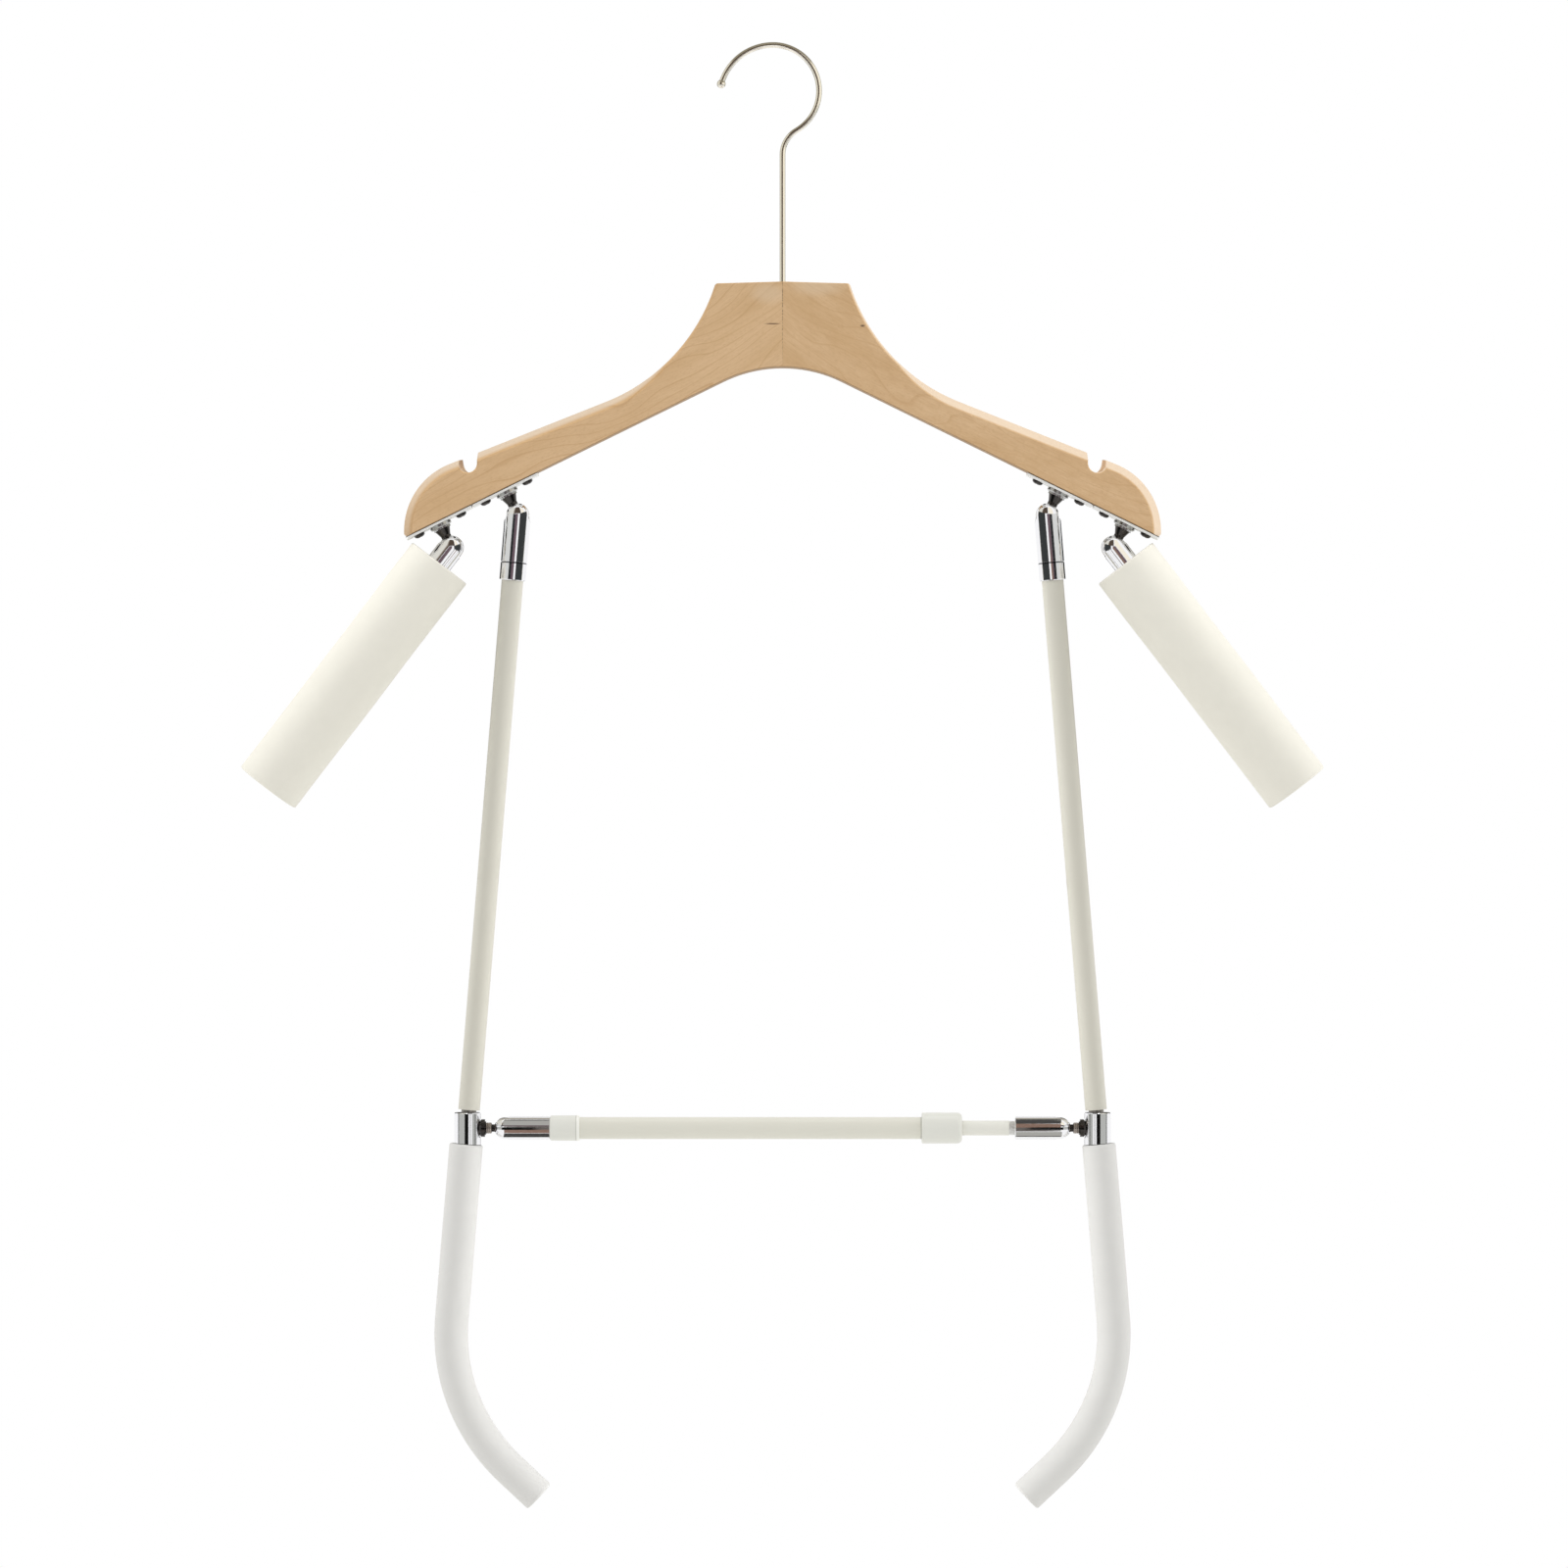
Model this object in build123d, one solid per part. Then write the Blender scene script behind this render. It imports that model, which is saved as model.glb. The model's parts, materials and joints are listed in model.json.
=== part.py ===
from build123d import *
from math import cos, radians, sin, sqrt, tan
import os

# Articulated torso hanger. Millimetres, +Z up, +X to the viewer's right, -Y to the viewer.
# The origin is the rail seat: the inside of the hook on its swivel axis.
# Paired pieces are made for the right side and mirrored to the left.

# Hook, bent from one wire
WIRE_D = 3.0
HOOK_ARC_R = 24.4
HOOK_FLARE_R = 28.6
HOOK_FLARE_SWEEP = 74.0
HOOK_OFFSET = 5.0
HOOK_BEND_R = 14.9
HOOK_TIP_D = 4.6
HOOK_REACH = 124.0

# Swivel of the hook in the neck
SHANK_IN_NECK = 28.0
BUSH_OD = 6.0
BUSH_L = 22.0
BUSH_SUNK = 1.5
NUT_FLATS = 5.5
NUT_H = 2.4

# Wooden shoulder bar
HALF_SPAN = 200.6
WOOD_T = 14.0
NECK_HALF = 35.6
NECK_FALL = 1.0
NECK_DEPTH = 45.15
NECK_CORNER_R = 2.0
NECK_CURVE_R = 98.4
SHOULDER_SLOPE = 21.7
TIP_R = 38.0
TIP_FLANK = 3.8
TIP_CORNER_R = 1.6
UNDER_SLOPE = 26.2
ARCH_R = 71.2
EDGE_BREAK = 0.6
BEVEL_FACE = 4.5
BEVEL_DEPTH = 3.1
BEVEL_RUNOUT_R = 68.0
BEVEL_RUNOUT_L = 44.0
BEVEL_SPARE = 0.4
NECK_BEVEL_FACE = 1.4
NECK_BEVEL_DEPTH = 1.1
NOTCH_X = 165.6
NOTCH_R = 5.0
NOTCH_DEPTH = 9.0
NOTCH_LIP = 0.7
NOTCH_TURN = 11.0
DOWEL_D = 6.0
DOWEL_L = 40.0
DOWEL_ABOVE_ARCH = 8.0

# Flange plates under the shoulders and their screws
PLATE_L = 38.6
PLATE_W = 13.0
PLATE_T = 1.5
PLATE_GAP = 0.6
PLATE_CORNER_R = 1.2
PLATE_MID = 164.8
SCREW_PITCH = 24.6
SCREW_D = 3.0
SCREW_L = 13.0
SCREW_HEAD_D = 5.8
SCREW_HEAD_H = 1.9
SCREW_HEAD_EDGE = 0.7

# Ball studs, sockets and friction pads of the arms and side rods
STUD_REACH = 15.4
STUD_RIVET_R = 4.2
STUD_RIVET_H = 2.4
STUD_SHANK_R = 2.6
STUD_FLANGE_R = 6.0
STUD_FLANGE_H = 2.0
STUD_COLLAR_R = 4.7
STUD_COLLAR_H = 1.2
STUD_NECK_R = 2.7
BALL_R = 4.8
LINER_T = 0.55
SOCKET_WALL = 1.49
SOCKET_L = 32.5
ARM_NECK_PLAY = 0.4
ROD_NECK_PLAY = 1.1
ROD_LINER_PLAY = 1.0
LINER_SLIT = 0.7
PAD_L = 5.6
CUP_RIM = 0.6

# Foam arms
ARM_TILT = 63.6
ARM_SWIVEL = 0.0
ARM_CORE_R = 4.0
ARM_CORE_EDGE = 1.0
ARM_FOAM_R = 18.15
ARM_FOAM_L = 150.0
ARM_FOAM_START = 10.5
FOAM_END = 9.0
FOAM_ROUND = 1.4

# Side rods
ROD_SPLAY = 4.7
ROD_LENGTH = 326.5
TUBE_WALL = 1.7
TUBE_TO_COLLAR = 1.6
FERRULE_L = 9.5
SPIGOT_L = 20.0
SEAM = 0.3

# Waist collars and the studs of the waist bar
COLLAR_WALL = 2.25
COLLAR_H = 16.4
COLLAR_PLAY = 0.85
COLLAR_FLAT_DEPTH = 0.7
BAR_STUD_REACH = 19.7
BAR_STUD_SHANK_R = 2.5
BAR_STUD_FLANGE_R = 4.7
BAR_STUD_FLANGE_H = 2.9
BAR_STUD_RING_R = 3.6
BAR_STUD_RING_H = 0.6
BAR_STUD_THREAD_R = 2.8
BAR_STUD_THREAD_H = 2.9
BAR_STUD_NECK_R = 2.0
BAR_BALL_R = 3.9

# Bent hips
HIP_ROD_R = 4.0
HIP_RUN = 0.05
HIP_IN_TUBE = 22.0
HIP_STRAIGHT = 101.5
HIP_BEND_R = 98.0
HIP_TURN = 51.6
HIP_END = 21.5
HIP_FOAM_R = 9.0

# Telescopic waist bar
BAR_SOCKET_WALL = 1.3
BAR_SOCKET_L = 30.2
BAR_NECK_PLAY = 0.4
END_CAP_L = 15.6
END_CAP_T = 0.83
END_CAP_WALL = 4.0
END_CAP_BEAD = 0.15
END_CAP_BEAD_L = 1.5
END_CAP_ROUND = 1.0
OUTER_TUBE_SHOWN = 181.5
OUTER_TUBE_WALL = 1.15
OUTER_TUBE_IN_KNOB = 8.0
INNER_TUBE_R = 3.95
INNER_TUBE_WALL = 1.0
INNER_TUBE_HIDDEN = 118.0
JOINER_IN_TUBE = 22.0
RIGHT_JOINER_STEP = 0.25
RIGHT_JOINER_SHOWN = 3.1
GUIDE_L = 9.0
GUIDE_TAIL = 10.0
GUIDE_EDGE = 1.0
COLLET_L = 15.0
COLLET_WALL = 0.65
COLLET_FLANGE_H = 1.4
COLLET_FINGER_L = 9.0
COLLET_CUTS = 2
COLLET_SLIT_W = 0.8
COLLET_SLIT_ROOT = 1.0
COLLET_FINGER_T = 1.2
COLLET_TIP_T = 0.7
KNOB_L = 21.4
KNOB_WALL = 2.32
KNOB_ROUND = 2.6
KNOB_EDGE = 0.7

# Clearances
FIT = 0.02
RUN = 0.08
LOOSE = 0.3
OPEN_PIVOT = 0.8
OVERCUT = 1.0

# Heights and places worked out from the sizes above
WIRE_R = WIRE_D / 2
NECK_TOP_Z = -HOOK_REACH
NECK_CORNER_Z = NECK_TOP_Z - NECK_FALL
SLOPE = radians(SHOULDER_SLOPE)
UNDER = radians(UNDER_SLOPE)
SLOPE_OUT = Vector(sin(SLOPE), cos(SLOPE))
SLOPE_UP = Vector(-cos(SLOPE), sin(SLOPE))
ARCH_X = ARCH_R * sin(UNDER)
ARCH_Z = NECK_TOP_Z - NECK_DEPTH


def underside_z(x):
    """Height of the straight underside at distance x from the centre, where it runs on from the arch."""
    return ARCH_Z - ARCH_R * (1 - cos(UNDER)) - tan(UNDER) * (x - ARCH_X)


FLANK_Z = underside_z(HALF_SPAN)
TIP_Z = FLANK_Z + TIP_FLANK
TIP_CENTRE = Vector(HALF_SPAN - TIP_R, TIP_Z)
TIP_TOP = TIP_CENTRE + SLOPE_OUT * TIP_R
SLOPE_AT_NOTCH_Z = TIP_TOP.Y + (TIP_TOP.X - NOTCH_X) * tan(SLOPE)
LINER_IN_R = BALL_R + RUN
LINER_OUT_R = LINER_IN_R + LINER_T
SEAT_R = LINER_OUT_R + RUN
SOCKET_R = SEAT_R + SOCKET_WALL
SOCKET_END = SOCKET_L - SOCKET_R
PAD_TOP = SEAT_R * CUP_RIM
PAD_END = PAD_TOP + PAD_L
BAR_SEAT_R = BAR_BALL_R + RUN
BAR_OPEN_SEAT_R = BAR_BALL_R + OPEN_PIVOT
BAR_SOCKET_R = BAR_OPEN_SEAT_R + BAR_SOCKET_WALL
BAR_SOCKET_END = BAR_SOCKET_L - BAR_SOCKET_R
TUBE_BORE_R = HIP_ROD_R + HIP_RUN
TUBE_R = TUBE_BORE_R + TUBE_WALL
COLLAR_BORE_R = HIP_ROD_R + COLLAR_PLAY
COLLAR_R = COLLAR_BORE_R + COLLAR_WALL
COLLAR_FLAT = COLLAR_R - COLLAR_FLAT_DEPTH
INNER_TUBE_BORE_R = INNER_TUBE_R - INNER_TUBE_WALL
COLLET_BORE_R = INNER_TUBE_R + RUN
OUTER_TUBE_BORE_R = COLLET_BORE_R + COLLET_WALL + FIT
OUTER_TUBE_R = OUTER_TUBE_BORE_R + OUTER_TUBE_WALL
END_CAP_R = OUTER_TUBE_R + FIT + END_CAP_T
KNOB_R = OUTER_TUBE_R + RUN + KNOB_WALL


def stud_frame(along):
    """Frame on the underside, along from the plates' middle: x outwards along it, z square to it and down."""
    outwards = Vector(cos(UNDER), 0, -sin(UNDER))
    origin = Vector(PLATE_MID, 0, underside_z(PLATE_MID)) + outwards * along
    return Plane(origin, x_dir=outwards, z_dir=(-sin(UNDER), 0, -cos(UNDER))).location


PLATE_OFFSET = (PLATE_L + PLATE_GAP) / 2
ARM_STUD = stud_frame(PLATE_OFFSET)
ROD_STUD = stud_frame(-PLATE_OFFSET)
TO_BALL = Pos(0, 0, STUD_REACH)
# Frames at the ball centres: z runs down the arm or rod, the dome is on the -z side, the slot runs along x
ARM_FRAME = ARM_STUD * TO_BALL * Rot(0, 0, ARM_SWIVEL) * Rot(0, ARM_TILT, 0)
ROD_FRAME = ROD_STUD * TO_BALL * Rot(0, UNDER_SLOPE + ROD_SPLAY, 0)
COLLAR_AT = (ROD_FRAME * Pos(0, 0, ROD_LENGTH)).position
BAR_BALL_X = COLLAR_AT.X - BAR_STUD_REACH
BAR_Z = COLLAR_AT.Z
COLLAR_FRAME = Pos(*COLLAR_AT)
BAR_STUD_FRAME = Plane(COLLAR_AT, x_dir=(0, 0, 1), z_dir=(-1, 0, 0)).location
BAR_LEFT_FRAME = Plane((-BAR_BALL_X, 0, BAR_Z), x_dir=(0, 0, 1), z_dir=(1, 0, 0)).location
BAR_RIGHT_FRAME = Plane((BAR_BALL_X, 0, BAR_Z), x_dir=(0, 0, 1), z_dir=(-1, 0, 0)).location
# Stations along the waist bar, from the left ball
CAP_AT = BAR_SOCKET_END
TUBE_SHOWS_AT = CAP_AT + END_CAP_L
KNOB_AT = TUBE_SHOWS_AT + OUTER_TUBE_SHOWN
KNOB_END = KNOB_AT + KNOB_L
RIGHT_SOCKET_AT = 2 * BAR_BALL_X - BAR_SOCKET_END
INNER_TUBE_END = RIGHT_SOCKET_AT - RIGHT_JOINER_SHOWN
OUTER_TUBE_START = CAP_AT + END_CAP_WALL
OUTER_TUBE_END = KNOB_AT + OUTER_TUBE_IN_KNOB
INNER_TUBE_START = KNOB_AT - INNER_TUBE_HIDDEN


def bow(centre, start, end):
    """Arc of less than half a turn from start to end about a centre."""
    centre, start, end = Vector(*centre), Vector(*start), Vector(*end)
    radius = (start - centre).length
    middle = centre + ((start - centre) + (end - centre)).normalized() * radius
    return ThreePointArc(start, middle, end)


def turned(points):
    """Turned piece from a closed profile of (radius, height) points."""
    return revolve(Plane.XZ * make_face(Polyline(*points, close=True)), Axis.Z)


def spun(edges):
    """Turned piece from profile edges that close on themselves."""
    return revolve(Plane.XZ * make_face(edges), Axis.Z)


def ring(outer_r, inner_r, start, end):
    """Plain tube between two heights."""
    return turned([(inner_r, start), (outer_r, start), (outer_r, end), (inner_r, end)])


def hook():
    arc_centre = Vector(-HOOK_OFFSET, -sqrt((HOOK_ARC_R - WIRE_R) ** 2 - HOOK_OFFSET**2))
    reach = HOOK_ARC_R + HOOK_BEND_R
    bend_centre = Vector(HOOK_BEND_R, arc_centre.Y - sqrt(reach**2 - (HOOK_BEND_R + HOOK_OFFSET) ** 2))
    bend_start = Vector(0, bend_centre.Y)
    bend_end = arc_centre + (bend_centre - arc_centre) * (HOOK_ARC_R / reach)
    top = arc_centre + Vector(0, HOOK_ARC_R)
    side = arc_centre + Vector(HOOK_ARC_R, 0)
    flare_centre = top - Vector(0, HOOK_FLARE_R)
    sweep_angle = radians(HOOK_FLARE_SWEEP)
    tip = flare_centre + Vector(-sin(sweep_angle), cos(sweep_angle)) * HOOK_FLARE_R
    foot = Vector(0, NECK_TOP_Z - SHANK_IN_NECK)
    path = Plane.XZ * (
        Line(foot, bend_start)
        + bow(bend_centre, bend_start, bend_end)
        + bow(arc_centre, bend_end, side)
        + bow(arc_centre, side, top)
        + bow(flare_centre, top, tip)
    )
    wire = sweep(Pos(0, 0, foot.Y) * Circle(WIRE_R), path)
    return wire + Pos(tip.X, 0, tip.Y) * Sphere(HOOK_TIP_D / 2)


NUT_TOP = NECK_TOP_Z - BUSH_SUNK - BUSH_L - RUN


def hook_nut():
    blank = extrude(RegularPolygon(NUT_FLATS / 2, 6, major_radius=False), NUT_H)
    return Pos(0, 0, NUT_TOP - NUT_H) * (blank - Cylinder(WIRE_R + FIT, 4 * NUT_H))


def hook_bush():
    top = NECK_TOP_Z - BUSH_SUNK
    return ring(BUSH_OD / 2, WIRE_R + RUN, top - BUSH_L, top)


def neck_bore():
    """Stepped hole down the seam: shank clearance, bush seat and a chamber for the nut."""
    chamber_r = NUT_FLATS / sqrt(3) + LOOSE
    chamber_end = NUT_TOP - NUT_H - SHANK_IN_NECK / 4
    bush_end = NECK_TOP_Z - BUSH_SUNK - BUSH_L
    shank = Pos(0, 0, NECK_TOP_Z) * Cylinder(WIRE_R + LOOSE, 4 * BUSH_SUNK)
    seat = ring(BUSH_OD / 2 + FIT, 0, bush_end, NECK_TOP_Z - BUSH_SUNK)
    return shank + seat + ring(chamber_r, 0, chamber_end, bush_end)


def shoulder_outline():
    corner = Vector(NECK_HALF, NECK_CORNER_Z)
    rise = (corner - TIP_TOP).dot(SLOPE_OUT)
    along = (corner - TIP_TOP).dot(SLOPE_UP)
    run = sqrt(rise * (2 * NECK_CURVE_R - rise))
    neck_tangent = TIP_TOP + SLOPE_UP * (along - run)
    tip_side = Vector(HALF_SPAN, TIP_Z)
    tip_corner = Vector(HALF_SPAN, FLANK_Z)
    arch_end = Vector(ARCH_X, underside_z(ARCH_X))
    arch_top = Vector(0, ARCH_Z)
    outline = make_face(
        [
            Line((0, NECK_TOP_Z), corner),
            bow(neck_tangent + SLOPE_OUT * NECK_CURVE_R, corner, neck_tangent),
            Line(neck_tangent, TIP_TOP),
            bow(TIP_CENTRE, TIP_TOP, tip_side),
            Line(tip_side, tip_corner),
            Line(tip_corner, arch_end),
            bow((0, ARCH_Z - ARCH_R), arch_end, arch_top),
            Line(arch_top, (0, NECK_TOP_Z)),
        ]
    )
    outline = fillet(outline.vertices().sort_by_distance(corner)[0], NECK_CORNER_R)
    return fillet(outline.vertices().sort_by_distance(tip_corner)[0], TIP_CORNER_R), neck_tangent


def rim_wedge(face_w, depth, start, path):
    """Wedge that cuts both rims back by face_w on the face and by depth on the edge, carried along a path."""
    wedge = Polyline(
        (-face_w * (1 + BEVEL_SPARE), -depth * BEVEL_SPARE),
        (face_w * BEVEL_SPARE, depth * (1 + BEVEL_SPARE)),
        (face_w * BEVEL_SPARE, -depth * BEVEL_SPARE),
        close=True,
    )
    cutter = Pos(0, -WOOD_T / 2, 0) * sweep(start * make_face(wedge), Plane.XZ * path)
    return cutter + mirror(cutter, about=Plane.XZ)


def slope_bevel(neck_tangent):
    """Bevel round the tip and up the slope, drawn out of the wood where the neck begins to curve."""
    turn = BEVEL_RUNOUT_L / BEVEL_RUNOUT_R
    away = neck_tangent + SLOPE_OUT * BEVEL_RUNOUT_R
    runout = away + Vector(-sin(SLOPE + turn), -cos(SLOPE + turn)) * BEVEL_RUNOUT_R
    foot = Vector(HALF_SPAN, FLANK_Z - BEVEL_FACE)
    tip_side = Vector(HALF_SPAN, TIP_Z)
    path = (
        Line(foot, tip_side)
        + bow(TIP_CENTRE, tip_side, TIP_TOP)
        + Line(TIP_TOP, neck_tangent)
        + bow(away, neck_tangent, runout)
    )
    start = Plane((HALF_SPAN, 0, foot.Y), x_dir=(1, 0, 0), z_dir=(0, 0, 1))
    return rim_wedge(BEVEL_FACE, BEVEL_DEPTH, start, path)


def neck_bevel(neck_tangent):
    """Narrow bevel up the hollow side of the neck and on past its corner."""
    corner = Vector(NECK_HALF, NECK_CORNER_Z)
    centre = neck_tangent + SLOPE_OUT * NECK_CURVE_R
    spoke = (corner - centre).normalized()
    past = corner + Vector(spoke.Y, -spoke.X) * NECK_CORNER_R * 2
    path = bow(centre, neck_tangent, corner) + Line(corner, past)
    start = Plane(
        (neck_tangent.X, 0, neck_tangent.Y),
        x_dir=(SLOPE_OUT.X, 0, SLOPE_OUT.Y),
        z_dir=(SLOPE_UP.X, 0, SLOPE_UP.Y),
    )
    return rim_wedge(NECK_BEVEL_FACE, NECK_BEVEL_DEPTH, start, path)


def strap_notch():
    """U-shaped notch with eased edges on both faces, turned so that its outer wall shows from the front."""
    bottom = SLOPE_AT_NOTCH_Z - NOTCH_DEPTH
    height = NOTCH_DEPTH + 2 * NOTCH_R
    face = WOOD_T / 2

    def outline(radius, ahead):
        middle = NOTCH_X + ahead * tan(radians(NOTCH_TURN))
        upright = Pos(middle, bottom + NOTCH_R + height / 2) * Rectangle(2 * radius, height)
        return Plane.XZ.offset(ahead) * (Pos(middle, bottom + NOTCH_R) * Circle(radius) + upright)

    notch = loft([outline(NOTCH_R, face + NOTCH_LIP), outline(NOTCH_R, -face - NOTCH_LIP)])
    for side in (-1, 1):
        rim = outline(NOTCH_R + 2 * NOTCH_LIP, side * (face + NOTCH_LIP))
        notch += loft([rim, outline(NOTCH_R, side * (face - NOTCH_LIP))])
    return notch


def screw_places():
    """Screw positions along the plates, from the plates' middle."""
    return [side * PLATE_OFFSET + end * SCREW_PITCH / 2 for side in (-1, 1) for end in (-1, 1)]


def mitre_dowel(spare=0.0):
    """Dowel across the seam; with spare it is the hole for itself."""
    peg = Cylinder(DOWEL_D / 2 + spare, DOWEL_L + spare)
    return Pos(0, 0, ARCH_Z + DOWEL_ABOVE_ARCH) * Rot(0, 90, 0) * peg


def shoulder():
    outline, neck_tangent = shoulder_outline()
    wood = extrude(Plane.XZ * outline, WOOD_T / 2, both=True)
    sides = [face.edges() for face in wood.faces().filter_by(Axis.Y)]
    rims = [edge for edges in sides for edge in edges if abs(edge.center().X) > EDGE_BREAK]
    wood = fillet(rims, EDGE_BREAK)
    wood -= slope_bevel(neck_tangent)
    wood -= neck_bevel(neck_tangent)
    wood -= strap_notch()
    wood -= neck_bore()
    wood -= mitre_dowel(FIT)
    for frame in (ARM_STUD, ROD_STUD):
        wood -= frame * ring(STUD_RIVET_R + LOOSE, 0, -STUD_RIVET_H - LOOSE, OVERCUT)
    for along in screw_places():
        wood -= stud_frame(along) * ring(SCREW_D / 2 + FIT, 0, PLATE_T - SCREW_L - LOOSE, OVERCUT)
    return wood


def plate():
    """Flange plate in its stud's frame, drilled for the stud and two screws."""
    blank = extrude(RectangleRounded(PLATE_L, PLATE_W, PLATE_CORNER_R), PLATE_T)
    blank -= Cylinder(STUD_SHANK_R + FIT, 4 * PLATE_T)
    for end in (-1, 1):
        blank -= Pos(end * SCREW_PITCH / 2, 0, 0) * Cylinder(SCREW_D / 2 + RUN, 4 * PLATE_T)
    return blank


def screw():
    """Pan-head screw in the underside's frame, with its head on the plate."""
    head_r = SCREW_HEAD_D / 2
    head_top = PLATE_T + SCREW_HEAD_H
    point = PLATE_T - SCREW_L
    return turned(
        [
            (0, point),
            (SCREW_D / 2, point + SCREW_D),
            (SCREW_D / 2, PLATE_T),
            (head_r, PLATE_T),
            (head_r, head_top - SCREW_HEAD_EDGE),
            (head_r - SCREW_HEAD_EDGE, head_top),
            (0, head_top),
        ]
    )


def ball_stud():
    """Riveted ball stud: rivet head, shank, flange, hexagon, tapered neck and ball."""
    flange_end = PLATE_T + STUD_FLANGE_H
    hexagon_end = flange_end + STUD_COLLAR_H
    neck_start = STUD_REACH - SOCKET_R - RUN
    edge = STUD_FLANGE_H / 4
    body = turned(
        [
            (0, -STUD_RIVET_H),
            (STUD_RIVET_R, -STUD_RIVET_H),
            (STUD_RIVET_R, 0),
            (STUD_SHANK_R, 0),
            (STUD_SHANK_R, PLATE_T),
            (STUD_FLANGE_R, PLATE_T),
            (STUD_FLANGE_R, flange_end - edge),
            (STUD_FLANGE_R - edge, flange_end),
            (STUD_COLLAR_R - edge, flange_end),
            (STUD_COLLAR_R - edge, hexagon_end),
            (STUD_NECK_R, neck_start),
            (STUD_NECK_R, STUD_REACH),
            (0, STUD_REACH),
        ]
    )
    hexagon = Pos(0, 0, flange_end) * extrude(RegularPolygon(STUD_COLLAR_R, 6), STUD_COLLAR_H)
    return body + hexagon + TO_BALL * Sphere(BALL_R)


def liner(hole_r):
    """Split shell round the ball, open where the stud's neck leaves it, in the stud's frame."""
    hole_in = sqrt(LINER_IN_R**2 - hole_r**2)
    hole_out = sqrt(LINER_OUT_R**2 - hole_r**2)
    shell = spun(
        [
            ThreePointArc((hole_r, -hole_out), (LINER_OUT_R, 0), (0, LINER_OUT_R)),
            Line((0, LINER_OUT_R), (0, LINER_IN_R)),
            ThreePointArc((0, LINER_IN_R), (LINER_IN_R, 0), (hole_r, -hole_in)),
            Line((hole_r, -hole_in), (hole_r, -hole_out)),
        ]
    )
    slit = Pos(0, LINER_OUT_R / 2, -LINER_OUT_R / 2) * Box(LINER_SLIT, LINER_OUT_R, 2 * LINER_OUT_R)
    return TO_BALL * (shell - slit)


def socket(outer_r, seat_r, slot_w, length):
    """Domed tube round a ball at the origin, bored from its open end and slotted across the dome."""
    end = length - outer_r
    shell = spun(
        [
            bow((0, 0), (0, -outer_r), (outer_r, 0)),
            Line((outer_r, 0), (outer_r, end - SEAM)),
            Line((outer_r, end - SEAM), (outer_r - SEAM, end)),
            Line((outer_r - SEAM, end), (seat_r, end)),
            Line((seat_r, end), (seat_r, 0)),
            bow((0, 0), (seat_r, 0), (0, -seat_r)),
            Line((0, -seat_r), (0, -outer_r)),
        ]
    )
    across = 2 * (outer_r + OVERCUT)
    depth = outer_r + OVERCUT
    slot = Pos(0, 0, -depth / 2) * Box(across, slot_w, depth)
    return shell - slot - Rot(0, 90, 0) * Cylinder(slot_w / 2, across)


def cupped(seat_r, stem):
    """Plug whose end face is a cup round the ball, followed by the stem's (radius, height) points."""
    rim_z = seat_r * CUP_RIM
    rim_r = seat_r * sqrt(1 - CUP_RIM**2)
    points = [(rim_r, rim_z)] + stem
    edges = [bow((0, 0), (0, seat_r), (rim_r, rim_z))]
    edges += [Line(a, b) for a, b in zip(points, points[1:])]
    return spun(edges + [Line(points[-1], (0, seat_r))])


def pad():
    """Friction pad: its cup bears on the liner, its back on the plug that tightens it."""
    radius = SEAT_R - FIT
    return cupped(SEAT_R, [(radius, PAD_TOP), (radius, PAD_END), (0, PAD_END)])


def arm_core():
    plug_r = SEAT_R - FIT
    end = ARM_FOAM_START + ARM_FOAM_L - FOAM_END
    return turned(
        [
            (0, PAD_END),
            (plug_r, PAD_END),
            (plug_r, SOCKET_END),
            (ARM_CORE_R, SOCKET_END),
            (ARM_CORE_R, end - ARM_CORE_EDGE),
            (ARM_CORE_R - ARM_CORE_EDGE, end),
            (0, end),
        ]
    )


def arm_foam():
    """Foam roll with a stepped bore for the socket and the core, closed at its lower end."""
    end = ARM_FOAM_START + ARM_FOAM_L
    roll = ring(ARM_FOAM_R, 0, ARM_FOAM_START, end)
    roll = fillet(roll.edges().filter_by(GeomType.CIRCLE), FOAM_ROUND)
    roll -= ring(SOCKET_R + FIT, 0, ARM_FOAM_START - OVERCUT, SOCKET_END + FIT)
    return roll - ring(ARM_CORE_R + FIT, 0, SOCKET_END, end - FOAM_END + FIT)


def rod_ferrule():
    plug_r = SEAT_R - FIT
    spigot_r = TUBE_BORE_R - FIT
    ring_end = SOCKET_END + FERRULE_L
    return turned(
        [
            (0, PAD_END),
            (plug_r, PAD_END),
            (plug_r, SOCKET_END),
            (SOCKET_R - SEAM, SOCKET_END),
            (SOCKET_R, SOCKET_END + SEAM),
            (SOCKET_R, ring_end - SEAM),
            (SOCKET_R - SEAM, ring_end),
            (spigot_r, ring_end),
            (spigot_r, ring_end + SPIGOT_L),
            (0, ring_end + SPIGOT_L),
        ]
    )


TUBE_END = ROD_LENGTH - COLLAR_H / 2 - TUBE_TO_COLLAR


def rod_tube():
    return ring(TUBE_R, TUBE_BORE_R, SOCKET_END + FERRULE_L, TUBE_END)


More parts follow.
